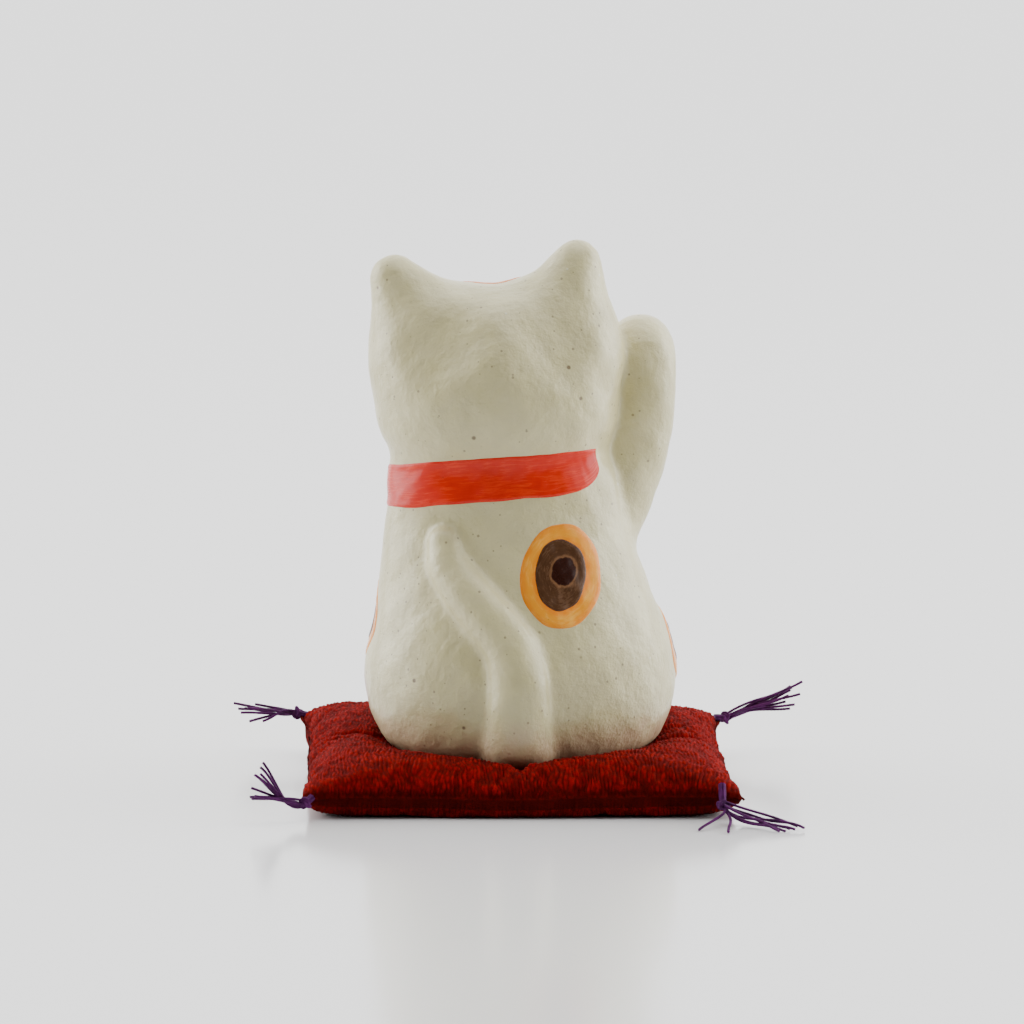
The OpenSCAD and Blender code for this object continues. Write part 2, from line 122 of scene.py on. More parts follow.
# %% [markdown]
# The masses. The head leans to the cat's left, as the thrown and hand-squeezed original does, and the
# ears differ: the right one is taller. A shallow hollow is pressed behind and in front of each ear.

# %% The cat's masses
RAISED_ARM = [(-11, -4, 39, 9), (-16.4, -5.5, 49, 8.4), (-20.8, -7, 60, 7.9), (-22.8, -8, 70, 7.3),
              (-23.2, -9, 77.2, 6.9), (-23.2, -13.5, 78.8, 6.4), (-22.8, -17.5, 76, 5.6)]
RESTING_ARM = [(18, -8, 45, 8), (18.3, -15.5, 37, 6.8), (15.3, -20.8, 28.5, 6.3), (9.8, -24.3, 22, 5.6)]
TAIL = [(14.6, 14.4, 44.0, 3.6), (14.0, 15.4, 40.4, 4.1), (11.8, 17.4, 36.7, 4.5),
        (8.4, 19.7, 32.5, 4.9),
        (5.1, 21.4, 28.7, 5.0), (2.1, 22.6, 24.3, 5.4), (0.8, 23.4, 19.7, 5.8), (0.6, 23.2, 14.8, 6.1),
        (0.7, 22.2, 9.4, 6.4), (0.6, 19.0, 4.0, 7.6)]
BASE_X = 0.4
WALL = 3.5
LEAST_WALL = 2.4        # where an ear's hollow comes near the cavity
DRAIN_R, DRAIN_TOP = 6.0, 9
SEAT = 6.2              # the cat's base above the table
CAT_TO_ROW = np.array([0, 0, SEAT])
FILM_UNDER = 0.12       # how far a film reaches below the glaze


def trunk(p):
    d = ellipsoid(p, (0.4, 0, 17), (29.6, 25, 30))
    d = soft_min(d, ellipsoid(p, (3.0, -1, 40), (24.3, 18.5, 24)), 8)
    return soft_min(d, ellipsoid(p, (3.8, -1.5, 55), (22, 17, 13)), 6)


def head_mass(p):
    d = ellipsoid(p, (5, -1, 70), (23.7, 20, 19.5))
    d = soft_min(d, ellipsoid(p, (5, -1, 80.5), (22.8, 17, 11.6)), 7)
    return soft_min(d, ellipsoid(p, (4.7, -7, 66), (21, 15, 12)), 5)


def head(p):
    d = head_mass(p)
    d = soft_min(d, taper(p, (16.6, -1, 80), 12, (24.7, 0.5, 93.7), 4.9), 5)
    d = soft_min(d, taper(p, (-6.4, -1, 81.5), 12.2, (-10.7, 0.5, 97.1), 4.5), 5)
    d = soft_min(d, ellipsoid(p, (4.7, -20, 66.5), (7, 4, 4.8)), 4)
    for x, y, z in ((22.4, -12.6, 89.4), (-9.6, -12.8, 92)):
        d = soft_max(d, -ellipsoid(p, (x, y, z), (4.2, 4.4, 5.2)), 3)
    for x, z in ((17.5, 87.0), (-9.0, 87.0)):
        d = soft_max(d, -ellipsoid(p, (x, 20.6, z), (9.5, 7.5, 8.5)), 8)
    return d


def unevenness(p):
    """Slow waves of a fraction of a millimetre, as a hand-smoothed surface has."""
    x, y, z = p[..., 0], p[..., 1], p[..., 2]
    slow = (np.sin(0.42 * x + 0.31 * z + 1.3) * np.sin(0.38 * y - 0.27 * z)
            + np.sin(0.55 * z - 0.22 * x + 0.7) * np.sin(0.47 * x + 0.36 * y + 2.1))
    fine = np.sin(1.31 * x + 0.7 * z) * np.sin(1.17 * z - 0.9 * y + 0.4) * np.sin(1.05 * y + 0.8 * x)
    return 0.11 * slow + 0.05 * fine


def outer_form(p):
    d = trunk(p)
    for side, x in ((1, 19), (-1, -18.5)):
        d = soft_min(d, ellipsoid(p, (x, -8, 15), (11.5, 17, 15)), 4)
    d = soft_min(d, head(p), 3)
    d = soft_min(d, limb(p, RAISED_ARM), 1.6)
    d = soft_min(d, limb(p, RESTING_ARM), 3)
    for x in (13, -13):
        d = soft_min(d, limb(p, [(x, -18, 6, 5), (x, -24, 5.4, 5.6), (x, -28, 5.3, 5.0)], 3), 2.5)
    d = soft_min(d, limb(p, TAIL), 1.3)
    return soft_max(d - unevenness(p), -p[..., 2], 5)


def form(p):
    """The whole cat: the outer form, hollow, with the drain hole in its base."""
    d = outer_form(p)
    core = soft_max(soft_min(trunk(p), head_mass(p), 3), -p[..., 2], 2)
    cavity = soft_max(core + WALL, d + LEAST_WALL, 1)
    d = soft_max(d, -cavity, 0.8)
    hole = np.maximum(np.hypot(p[..., 0] - BASE_X, p[..., 1]) - DRAIN_R, p[..., 2] - DRAIN_TOP)
    return soft_max(d, -hole, 1.2)


def slope(p, f, e=0.02):
    """The unit direction in which distance f grows fastest."""
    g = np.stack([f(p + o) - f(p - o) for o in np.eye(3) * e], -1)
    return g / np.maximum(np.linalg.norm(g, axis=-1, keepdims=True), 1e-12)


# %% [markdown]
# ## From the field to a mesh
#
# The field is sampled on a grid, at full resolution only near the surface. Each grid cell that the
# surface passes through gets one vertex, and each grid edge that it crosses gets one face between the
# four cells round it. The vertices are then moved on to the surface along the field's slope.

# %% Mesh the cat
def mesh_of_field(f, low, high, cell):
    n = np.ceil((np.array(high) - np.array(low)) / cell / 4).astype(int) * 4 + 1
    axes = [low[i] + cell * np.arange(n[i]) for i in range(3)]
    coarse = np.stack(np.meshgrid(*[a[::4] for a in axes], indexing="ij"), -1)
    rough = f(coarse.reshape(-1, 3)).reshape(coarse.shape[:3])
    near = np.abs(rough) < 4 * cell * 1.9
    grown = near.copy()      # one coarse cell wider each way
    for axis in range(3):
        for shift in (-1, 1):
            grown |= np.roll(near, shift, axis)
    near = grown
    d = np.repeat(np.repeat(np.repeat(rough, 4, 0), 4, 1), 4, 2)[: n[0], : n[1], : n[2]].copy()
    mask = np.repeat(np.repeat(np.repeat(near, 4, 0), 4, 1), 4, 2)[: n[0], : n[1], : n[2]]
    where = np.argwhere(mask)
    for s in range(0, len(where), 150000):
        w = where[s : s + 150000]
        p = np.stack([axes[i][w[:, i]] for i in range(3)], -1)
        d[w[:, 0], w[:, 1], w[:, 2]] = f(p)
    inside = d < 0
    total = np.zeros((*(n - 1), 3))
    count = np.zeros(n - 1)
    edges = []
    for axis in range(3):
        a = [slice(None)] * 3
        b = [slice(None)] * 3
        a[axis], b[axis] = slice(0, -1), slice(1, None)
        a, b = tuple(a), tuple(b)
        crossing = np.argwhere(inside[a] != inside[b])
        da = d[a][tuple(crossing.T)]
        db = d[b][tuple(crossing.T)]
        at = crossing.astype(float)
        at[:, axis] += da / (da - db)
        u, v = [i for i in range(3) if i != axis]
        ring = []
        for du, dv in ((0, 0), (1, 0), (1, 1), (0, 1)):
            c = crossing.copy()
            c[:, u] -= du
            c[:, v] -= dv
            np.add.at(total, tuple(c.T), at)
            np.add.at(count, tuple(c.T), 1)
            ring.append(c)
        out = (da < 0) ^ (axis == 1)
        edges.append((np.stack(ring, 1), out))
    used = np.argwhere(count > 0)
    index = -np.ones(n - 1, int)
    index[tuple(used.T)] = np.arange(len(used))
    verts = total[tuple(used.T)] / count[tuple(used.T)][:, None] * cell + np.array(low)
    faces = []
    for ring, out in edges:
        q = index[ring[..., 0], ring[..., 1], ring[..., 2]]
        q[out] = q[out][:, ::-1]
        faces.append(q[:, ::-1])
    for _ in range(4):
        verts = verts - 0.9 * f(verts)[:, None] * slope(verts, f)
    return verts, np.vstack(faces)


# %% Make an object from points and faces
def add_mesh(name, verts, faces, uv=None, smooth=True, values=None):
    """A mesh object with its vertices in mm. uv, if given, has one pair for each vertex, and values is a
    dict of named numbers, one for each vertex."""
    mesh = bpy.data.meshes.new(name)
    mesh.from_pydata((np.asarray(verts) * MM).tolist(), [], np.asarray(faces).tolist()
                     if not isinstance(faces, list) else faces)
    mesh.polygons.foreach_set("use_smooth", [smooth] * len(mesh.polygons))
    if uv is not None:
        layer = mesh.uv_layers.new(name="UVMap")
        corner = np.zeros(len(mesh.loops), np.int32)
        mesh.loops.foreach_get("vertex_index", corner)
        layer.data.foreach_set("uv", np.asarray(uv, np.float32)[corner].ravel())
    for key, value in (values or {}).items():
        mesh.attributes.new(key, "FLOAT",
                            "POINT").data.foreach_set("value", np.asarray(value, np.float32))
    mesh.update()
    obj = bpy.data.objects.new(name, mesh)
    bpy.context.scene.collection.objects.link(obj)
    return obj


# %% Make the cat
CELL = 0.78
verts, faces = mesh_of_field(form, (-33, -37, -2), (33, 32, 106), CELL)
cat = add_mesh("glazed_cat", verts + CAT_TO_ROW, faces)
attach(cat, "cat")
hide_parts("cat_body", "raised_arm", "resting_arm", "hind_paws")
print("Cat:", len(verts), "vertices,", 2 * len(faces), "triangles; height",
      round(verts[:, 2].max() - verts[:, 2].min(), 1), "mm")

# %% [markdown]
# ## Enamel films
#
# Each painted mark is a closed film a fifth of a millimetre thick. A flat grid of points is laid out
# outside the cat, each point walks straight in until it meets the surface, and the film is built up from
# there. It is thickest at a rim just inside its edge, as a loaded brush leaves it, and thins to nothing at
# the edge itself. Its UV map holds the flat grid's own place in millimetres.

# %% Lay films on the surface
def walk_in(p, direction, f=outer_form, steps=60):
    """Moves points along a direction until they meet the surface of f."""
    p = p.astype(float).copy()
    direction = np.broadcast_to(direction, p.shape)
    for _ in range(steps):
        p += direction * np.clip(f(p), -0.5, 4)[..., None] * 0.7
    return p


def film(name, start, direction, thick, uv, around=False, under=FILM_UNDER):
    """A closed film. start, thick and uv are grids of rows and columns. around joins the last column
    to the first, with the first row drawn together into a middle point."""
    rows, cols = start.shape[:2]
    skin = walk_in(start.reshape(-1, 3), direction if direction.ndim == 1 else direction.reshape(-1, 3))
    out = slope(skin, outer_form)
    t = thick.reshape(-1, 1)
    top, low = skin + out * t, skin - out * under
    n = rows * cols
    at = np.arange(n).reshape(rows, cols)
    if around:
        a = at[:-1]
        b = at[1:]
        quads = np.stack([a, b, np.roll(b, -1, 1), np.roll(a, -1, 1)], -1).reshape(-1, 4)
        edge = [(at[-1, j], at[-1, (j + 1) % cols]) for j in range(cols)]
        hub = at[0]
        caps = [[int(v) for v in hub]]
    else:
        quads = np.stack([at[:-1, :-1], at[1:, :-1], at[1:, 1:], at[:-1, 1:]], -1).reshape(-1, 4)
        loop = [*at[:, 0], *at[-1, 1:], *at[-2::-1, -1], *at[0, -2:0:-1]]
        edge = [(loop[i], loop[(i + 1) % len(loop)]) for i in range(len(loop))]
        caps = []
    a, b, c = top[quads[:, 0]], top[quads[:, 1]], top[quads[:, 2]]
    turned = (np.cross(b - a, c - a) * out[quads[:, 0]]).sum() < 0
    if turned:
        quads = quads[:, ::-1]
        caps = [f[::-1] for f in caps]
        edge = [(j, i) for i, j in edge]
    faces = quads.tolist() + [[v + n for v in q[::-1]] for q in quads.tolist()]
    faces += caps + [[v + n for v in f[::-1]] for f in caps]
    faces += [[int(j), int(i), int(i) + n, int(j) + n] for i, j in edge]
    flat = np.tile(uv.reshape(-1, 2), (2, 1)) / 10
    obj = add_mesh(name, np.vstack([top, low]) + CAT_TO_ROW, faces, flat)
    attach(obj, "cat")
    return obj


# %% Outlines and thickness
def wobble(t, amount, seed):
    """A smooth closed wave round an outline, of about that amount."""
    r = np.random.default_rng(seed)
    return sum(amount / (k**0.7) * r.normal() * np.sin(k * t + r.uniform(0, 6.28)) for k in range(2, 9))


def rim_profile(r, thick, rim, width=0.12):
    """Thickness across a film from r = 0 in the middle to 1 at its edge."""
    fall = np.clip((1 - r) / 0.09, 0, 1) ** 0.5
    return (thick + rim * np.exp(-(((1 - r) - 0.13) / width) ** 2)) * fall - 0.03


def oval_film(name, centre, half, facing, node, seed, thick=0.15, rim=0.06, lift=0.0, wave=0.02,
              rows=26, cols=120, square=2.0):
    """An oval mark. centre and half are in mm, and facing is the way the mark looks."""
    facing = np.array(facing, float) / np.linalg.norm(facing)
    across = np.cross((0, 0, 1), facing)
    across /= np.linalg.norm(across)
    up = np.cross(facing, across)
    t = np.arange(cols) / cols * 2 * np.pi
    r = np.concatenate([[0.02], np.linspace(0, 1, rows)[1:] ** 0.8])[:, None]
    squared = (np.abs(np.cos(t)) ** square + np.abs(np.sin(t)) ** square) ** (1 / square)
    reach = (1 + wobble(t, wave, seed)) / squared
    a = half[0] * r * reach * np.cos(t)
    b = half[1] * r * reach * np.sin(t)
    start = np.array(centre) + facing * 60 + a[..., None] * across + b[..., None] * up
    thickness = rim_profile(r * np.ones_like(t), thick, rim) + lift
    obj = film(name, start, -facing, thickness, np.stack([a, b], -1), around=True,
               under=FILM_UNDER - min(lift, 0.1))
    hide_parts(node)
    return obj


# %% [markdown]
# The collar is one broad brush stroke round the neck. It starts at the back of the raised arm, where it
# ends in a slanting round edge, and runs round the left side to the front of the arm.

# %% The collar
NECK = np.array([4.5, -1.5])
COLLAR_FROM, COLLAR_TO = math.radians(156), math.radians(-140)


def collar_height(t):
    return 54.6 - 1.4 * np.cos(t) + 2.3 * np.sin(t)


def collar_edges(t):
    """Heights of the lower and upper edges at each azimuth."""
    mid = collar_height(t)
    half = 4.05 + 0.25 * np.cos(t - 1.2)
    gone = np.clip((t - (COLLAR_FROM - 0.62)) / 0.62, 0, 1)
    front = np.clip(((COLLAR_TO + 0.3) - t) / 0.3, 0, 1)
    low = mid - half + 6.6 * (1 - np.sqrt(np.maximum(1 - gone**2.2,
            0))) + 3 * (1 - np.sqrt(np.maximum(1 - front**2, 0)))
    high = mid + half + 0.7 * gone - 3 * (1 - np.sqrt(np.maximum(1 - front**2, 0)))
    r = np.random.default_rng(5)
    for k in (3, 5, 8, 13, 21):
        low = low + 0.22 / k**0.5 * r.normal() * np.sin(k * t + r.uniform(0, 6))
        high = high + 0.18 / k**0.5 * r.normal() * np.sin(k * t + r.uniform(0, 6))
    return low, np.maximum(high, low + 0.3)


t = np.linspace(0, 1, 300)
t = COLLAR_FROM + (COLLAR_TO - COLLAR_FROM) * (t + 0.02 * np.sin(2 * np.pi * t))[:, None]
s = np.sin(np.linspace(-np.pi / 2, np.pi / 2, 25))[None]
low, high = collar_edges(t)
z = (low + high) / 2 + s * (high - low) / 2
radial = np.stack([np.cos(t) + 0 * s, np.sin(t) + 0 * s, 0 * z], -1)
start = np.concatenate([NECK + 0 * radial[..., :2], z[..., None]], -1) + 45 * radial
ends = np.clip(np.minimum(COLLAR_FROM - t, t - COLLAR_TO) / 0.02, 0, 1) ** 0.5
thickness = (rim_profile(np.abs(s) * np.ones_like(t), 0.14, 0.07) + 0.03) * ends - 0.03
uv = np.stack([(COLLAR_FROM - t) * 19 + 0 * s, s * 4 * np.ones_like(t)], -1)
collar = film("collar_stroke", start, -radial, thickness, uv)
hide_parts("collar_enamel")

# %% [markdown]
# Each spot is an oval of amber with a smaller brown oval painted over it. The face, the forehead mark and
# the ears are on the front.

# %% Spots and face
def spot(name, centre, half, facing, inner, seed):
    amber = oval_film(name + "_amber_film", centre, half, facing, name + "_amber", seed)
    facing = np.array(facing, float)
    brown = oval_film(name + "_brown_film", np.array(centre) + inner[0], inner[1], facing,
                      name + "_brown",
                      seed + 1, thick=0.10, rim=0.05, lift=0.13, square=2.1)
    return amber, brown


ambers, browns = [], []
for args in (
    ("back_spot", (-7.5, 0, 38.1), (7.95, 9.8), (0, 1, 0), ((0.1, 0, 0.3), (5.0, 6.6)), 21),
    ("left_spot", (0, -4.6, 27), (8.3, 8.1), (1, 0, 0), ((0, -0.3, 0.2), (5, 5)), 31),
    ("right_spot", (0, -6.5, 22), (8.3, 8), (-1, 0, 0), ((0, -0.3, 0.2), (5, 4.8)), 41),
):
    a, b = spot(*args)
    ambers.append(a)
    browns.append(b)

crown = oval_film("forehead_film", (5.0, -7.6, 88), (8.6, 8.4), (0, -0.62, 0.78), "crown_patch",
                  51)
ambers.append(crown)
ear_films = [
    oval_film("left_ear_film", (22.3, 0, 89.2), (2.9, 4.1), (0, -1, 0.1), "ear_enamel",
              61, rows=14, cols=60),
    oval_film("right_ear_film", (-9.6, 0, 91.8), (2.9, 4.3), (0, -1, 0.1), "ear_enamel",
              62, rows=14, cols=60),
]

# %% Eyes and nose
FACE_X = 4.7
eye_films, pupil_films = [], []
for k, side in enumerate((-1, 1)):
    centre = (FACE_X + side * 8.4, 0, 74.6)
    eye_films.append(oval_film(f"eye_gold_{k}", centre, (3.3, 3.0), (0, -1, 0), "eye_enamel",
                               71 + k, rows=12, cols=48))
    pupil_films.append(oval_film(f"eye_black_{k}", centre, (1.5, 2.5), (0, -1, 0), "eye_enamel",
                                 75 + k, thick=0.1, lift=0.12, rows=10, cols=40))
nose = oval_film("nose_film", (FACE_X, 0, 69.2), (1.9, 1.2), (0, -1, 0), "nose_enamel",
                 81, rows=10,
                 cols=40)


# %% Painted lines
def brush_line(name, line, width, node):
    """A thin painted line, seen from the front: (x, z) points in mm, tapering at both ends."""
    q = curve(line, 14)
    along = np.gradient(q, axis=0)
    along /= np.linalg.norm(along, axis=1, keepdims=True)
    side = np.stack([-along[:, 1], along[:, 0]], -1)
    t = np.linspace(0, 1, len(q))
    half = width / 2 * (0.35 + 0.65 * np.sin(np.pi * t) ** 0.6)
    s = np.linspace(-1, 1, 7)
    xz = q[:, None] + side[:, None] * (half[:, None] * s)[..., None]
    start = np.stack([xz[..., 0], np.full_like(xz[..., 0], -60), xz[..., 1]], -1)
    ends = np.minimum(1, 6 * np.minimum(t, 1 - t) + 0.2)[:, None]
    thick = 0.10 * np.sqrt(np.maximum(1 - s**2, 0)) * ends - 0.02
    uv = np.stack([np.repeat(t[:, None] * 10, 7, 1), np.repeat(s[None], len(t), 0)], -1)
    obj = film(name, start, np.array([0, 1.0, 0]), thick, uv)
    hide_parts(node)
    return obj


lines = []
for k, side in enumerate((-1, 1)):
    x = FACE_X
    lines.append(brush_line(f"mouth_{k}", [(x, 68.1), (x + side * 0.6, 66.2), (x + side * 2.4,
            65.5), (x + side * 4.2, 66.6)],
                            0.6, "mouth_line"))
    for j in (-1, 0, 1):
        lines.append(brush_line(f"whisker_{k}_{j + 1}",
                                [(x + side * (10 + 2.6 * i), 67 + 1.9 * j + (0.5 * j - 0.12 * i) * i)
                                                         for i in range(4)], 0.55, "whiskers"))
    lines.append(brush_line(f"brow_{k}", [(x + side * (5.4 + 2.1 * i),
            79.2 + 0.55 * i - 0.25 * i * i) for i in range(4)],
                            0.7, "eye_enamel"))
    for j in (-1, 1):
        lines.append(brush_line(f"toe_{k}_{j}", [(side * 13 + 1.9 * j, 3.0), (side * 13 + 1.8 * j, 5.0),
                                                 (side * 13 + 1.6 * j, 7.0)], 0.5, "toe_lines"))

# %% [markdown]
# The bell at the throat: a ball with a raised belt and a dark slot, sprigged on over the collar.

# %% The bell
def turned(name, profile, centre, body, sides=64):
    """A closed solid turned about the vertical. profile has (radius, height) pairs from bottom to top."""
    q = np.array(profile, float)
    a = np.arange(sides) / sides * 2 * np.pi
    ring = np.stack([np.outer(q[1:-1, 0], np.cos(a)), np.outer(q[1:-1, 0], np.sin(a)),
                     np.repeat(q[1:-1, 1:], sides, 1)], -1)
    verts = np.vstack([[(0, 0, q[0, 1])], ring.reshape(-1, 3), [(0, 0, q[-1, 1])]]) + np.array(centre)
    faces = [[0, 1 + (j + 1) % sides, 1 + j] for j in range(sides)]
    rows = len(q) - 2
    for i in range(rows - 1):
        for j in range(sides):
            a0, b0 = 1 + i * sides + j, 1 + i * sides + (j + 1) % sides
            faces.append([a0, b0, b0 + sides, a0 + sides])
    last = len(verts) - 1
    faces += [[last, 1 + (rows - 1) * sides + j,
               1 + (rows - 1) * sides + (j + 1) % sides] for j in range(sides)]
    obj = add_mesh(name, verts, faces)
    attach(obj, body)
    return obj


BELL_R = 4.0
throat = walk_in(np.array([[NECK[0], -60.0, collar_height(-math.pi / 2) - 2.4]]),
                 np.array([0, 1.0, 0]))[0]
bell_centre = throat + np.array([0, -BELL_R * 0.44, 0]) + CAT_TO_ROW
profile = []
for a in np.linspace(-90, 90, 61):
    r, h = BELL_R * math.cos(math.radians(a)), BELL_R * math.sin(math.radians(a))
    bead = 0.45 * math.exp(-(abs(h) / 0.42) ** 4)
    groove = -0.18 * math.exp(-((h - 0.95) / 0.22) ** 2)
    profile.append((max(r, 0) + bead + groove if 0 < r else 0, h))
bell = turned("throat_bell", profile, bell_centre, "cat")
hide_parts("bell")
print("Films laid on the glaze:",
      len(ambers) + len(browns) + len(ear_films) + len(eye_films) + len(pupil_films)
      + len(lines) + 2)

# %% [markdown]
# ## The cushion
#
# Two panels of crepe are sewn together round their edge and stuffed. They are simulated ten times over
# size, where the cloth solver's distances suit them: the panels are blown up between a floor and the base
# of the cat, which stays where it stands, with the four corners held. The cloth is cut larger everywhere
# but along its seam, so it puckers there.

# %% Sew and stuff the cushion
CORNERS = {(1, -1): (44.4, -38.2, 8.0), (-1, -1): (-39.8, -38.0, 6.9), (1, 1): (42.8, 38.4, 4.2),
           (-1, 1): (-42.8, 38.0, 4.6)}
NX, NY = 72, 66
BIG = 10.0          # the simulation's size over the real one
PRESSURE = 12.0
LET_OUT = 0.035     # how much larger the cloth is cut, but for its seam
SEAT_LIFT = 0.65    # mm that the cat is raised by while the cushion fills
CLOTH_GAP = 0.04    # mm that the solver keeps between cloth and ground
GROUND = 300


def corner_mix(u, v, values):
    """Mixes a value for each corner across u and v, each from -1 to 1."""
    total = 0
    for (sx, sy), value in values.items():
        w = (1 + sx * u) * (1 + sy * v) / 4
        total = total + w[..., None] * np.array(value)
    return total


u, v = np.meshgrid(np.linspace(-1, 1, NX + 1), np.linspace(-1, 1, NY + 1), indexing="ij")
flat = corner_mix(u, v, CORNERS)
edge = np.maximum(np.abs(u), np.abs(v)) > 0.9999
inner = (1 - u**8) * (1 - v**8)
seam_z = flat[..., 2]
top = flat.copy()
top[..., 2] = seam_z * (1 - inner) + 3.6 * inner
low = flat.copy()
low[..., 2] = seam_z * (1 - inner) + 1.0 * inner
index_top = np.arange((NX + 1) * (NY + 1)).reshape(NX + 1, NY + 1)
index_low = index_top.copy()
index_low[~edge] = index_top.size + np.arange((~edge).sum())
quads = lambda g: np.stack([g[:-1, :-1], g[1:, :-1], g[1:, 1:], g[:-1, 1:]], -1).reshape(-1, 4)
cover_verts = np.vstack([top.reshape(-1, 3), low[~edge]])
cover_faces = np.vstack([quads(index_top), quads(index_low)[:, ::-1]])


# %% Fill the cushion with the cloth solver
def stuffed_by_simulation(frames=45):
    scene = bpy.context.scene
    cover = add_mesh("cover", cover_verts * BIG, cover_faces)
    pins = cover.vertex_groups.new(name="corners")
    seam = cover.vertex_groups.new(name="seam")
    for cu in (0, NX):
        for cv in (0, NY):
            pins.add([int(index_top[cu, cv])], 1.0, "ADD")
    seam.add([int(i) for i in index_top[edge]], 1.0, "ADD")
    seam.add([int(i) for i in index_low[~edge]], 0.55, "ADD")
    cloth = cover.modifiers.new("cloth", "CLOTH")
    c = cloth.settings
    c.quality = 7
    c.mass = 0.25
    c.tension_stiffness = c.compression_stiffness = 25
    c.shear_stiffness = 8
    c.bending_stiffness = 0.4
    c.air_damping = 2.5
    c.vertex_group_mass = "corners"
    c.vertex_group_shrink = "seam"
    c.shrink_min, c.shrink_max = -LET_OUT, 0.0
    c.use_pressure = True
    c.uniform_pressure_force = PRESSURE
    c.effector_weights.gravity = 0.25
    cloth.collision_settings.distance_min = 0.003
    cloth.collision_settings.collision_quality = 3
    cloth.point_cache.frame_end = frames
    seat_verts, seat_faces = mesh_of_field(lambda p: soft_max(outer_form(p), p[..., 2] - 16, 1),
            (-34, -38, -3), (34, 34, 21), 1.9)
    seat = add_mesh("seat", (seat_verts + CAT_TO_ROW + (0, 0, SEAT_LIFT)) * BIG, seat_faces)
    floor = add_mesh("ground", np.array([[-1, -1, 0], [1, -1, 0], [1, 1, 0],
            [-1, 1, 0]]) * GROUND * BIG, [[0, 1, 2, 3]])
    for o in (seat, floor):
        o.modifiers.new("collision", "COLLISION")
        o.collision.thickness_outer = 0.003
        o.collision.cloth_friction = 8
    for f in range(1, frames + 1):
        scene.frame_set(f)
    solved = cover.evaluated_get(bpy.context.evaluated_depsgraph_get()).data
    co = np.zeros(len(solved.vertices) * 3)
    solved.vertices.foreach_get("co", co)
    co = co.reshape(-1, 3) / MM / BIG
    scene.frame_set(1)
    for o in (cover, seat, floor):
        bpy.data.objects.remove(o)
    a = co[: index_top.size].reshape(NX + 1, NY + 1, 3)
    b = a.copy()
    b[~edge] = co[index_top.size :]
    gap = b[..., 2].min() - CLOTH_GAP
    a[..., 2] -= gap
    b[..., 2] -= gap
    return a, b


# %% Fill it
began = time.time()
top, low = stuffed_by_simulation()
print("Stuffed in", round(time.time() - began), "s: top at", round(top[..., 2].max(), 1), "mm, low",
      round(low[..., 2].min(), 2), "mm, x", top[..., 0].min().round(1), top[..., 0].max().round(1), "y",
      top[..., 1].min().round(1), top[..., 1].max().round(1))

# %% [markdown]
# The simulated panels are drawn again on a fine grid, and the crepe's crinkle is raised on them. Its ribs
# run from front to back, three quarters of a millimetre apart, and wander, swell and break.

# %% Crinkle the crepe
RIB_PITCH = 0.73
CUT_W, CUT_D = 86.0, 80.0       # the panel's flat size between its seams


def refine(n_from, n_to):
    """Weights that draw a row of n_from points again as n_to points on a smooth curve."""
    at = np.linspace(0, n_from - 1, n_to)
    i = np.minimum(at.astype(int), n_from - 2)
    t = at - i
    w = np.zeros((n_to, n_from))
    rows = np.arange(n_to)
    for k, c in ((-1, -0.5 * t + t**2 - 0.5 * t**3), (0, 1 - 2.5 * t**2 + 1.5 * t**3),
                 (1, 0.5 * t + 2 * t**2 - 1.5 * t**3), (2, -0.5 * t**2 + 0.5 * t**3)):
        j = i + k
        low_end, high_end = j < 0, j > n_from - 1
        ok = ~(low_end | high_end)
        w[rows[ok], j[ok]] += c[ok]
        w[rows[low_end], 0] += 2 * c[low_end]
        w[rows[low_end], 1] -= c[low_end]
        w[rows[high_end], n_from - 1] += 2 * c[high_end]
        w[rows[high_end], n_from - 2] -= c[high_end]
    return w


def drift(x, y, size_x, size_y, seed):
    """Smooth noise from -1 to 1, with patches of that size."""
    r = np.random.default_rng(seed)
    i, j = np.floor(x / size_x).astype(int), np.floor(y / size_y).astype(int)
    s, t = x / size_x - i, y / size_y - j
    s, t = s * s * (3 - 2 * s), t * t * (3 - 2 * t)
    i0, j0 = i.min(), j.min()
    g = r.uniform(-1, 1, (i.max() - i0 + 2, j.max() - j0 + 2))
    i, j = i - i0, j - j0
    return ((g[i, j] * (1 - s) + g[i + 1, j] * s) * (1 - t) + (g[i, j + 1] * (1 - s) + g[i + 1, j + 1] * s) * t)


def crinkle(x, y, seed):
    """Height of the crinkled cloth, in mm, at flat places x across and y from front to back."""
    bend = 0.8 * drift(x, y, 6.5, 3.2, seed) + 0.42 * drift(x, y, 1.9, 1.7, seed + 1)
    phase = (x + bend) / RIB_PITCH
    rib_no = np.floor(phase)
    swell = 0.62 + 0.38 * drift(rib_no, y, 1.0, 1.25, seed + 2)
    rib = np.abs(np.sin(np.pi * phase)) ** 0.75
    return 0.46 * rib * swell + 0.20 * drift(x, y, 2.4, 2.0, seed + 3)


# %% Raise the crinkle on both panels
FX, FY_TOP, FY_LOW = ((560, 124, 44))
wx = refine(NX + 1, FX + 1)


def fine_panel(grid, rows):
    wy = refine(NY + 1, rows + 1)
    return np.einsum("ai,bj,ijk->abk", wx, wy, grid)


def normals_of(g):
    n = np.cross(np.gradient(g, axis=0), np.gradient(g, axis=1))
    return n / np.maximum(np.linalg.norm(n, axis=-1, keepdims=True), 1e-9)


def relief(grid, rows, outward, seed, strength):
    g = fine_panel(grid, rows)
    x, y = np.meshgrid(np.linspace(0, CUT_W, FX + 1), np.linspace(0, CUT_D, rows + 1), indexing="ij")
    to_seam = np.minimum(np.minimum(x, CUT_W - x), np.minimum(y, CUT_D - y))
    fade = np.clip(to_seam / 1.0, 0, 1) ** 0.7
    tuck = -0.55 * np.exp(-(to_seam / 1.1) ** 2)
    h = (crinkle(x, y, seed) * strength) * fade + tuck * (to_seam > 0)
    return g + normals_of(g) * outward * h[..., None], np.stack([x, y], -1), h


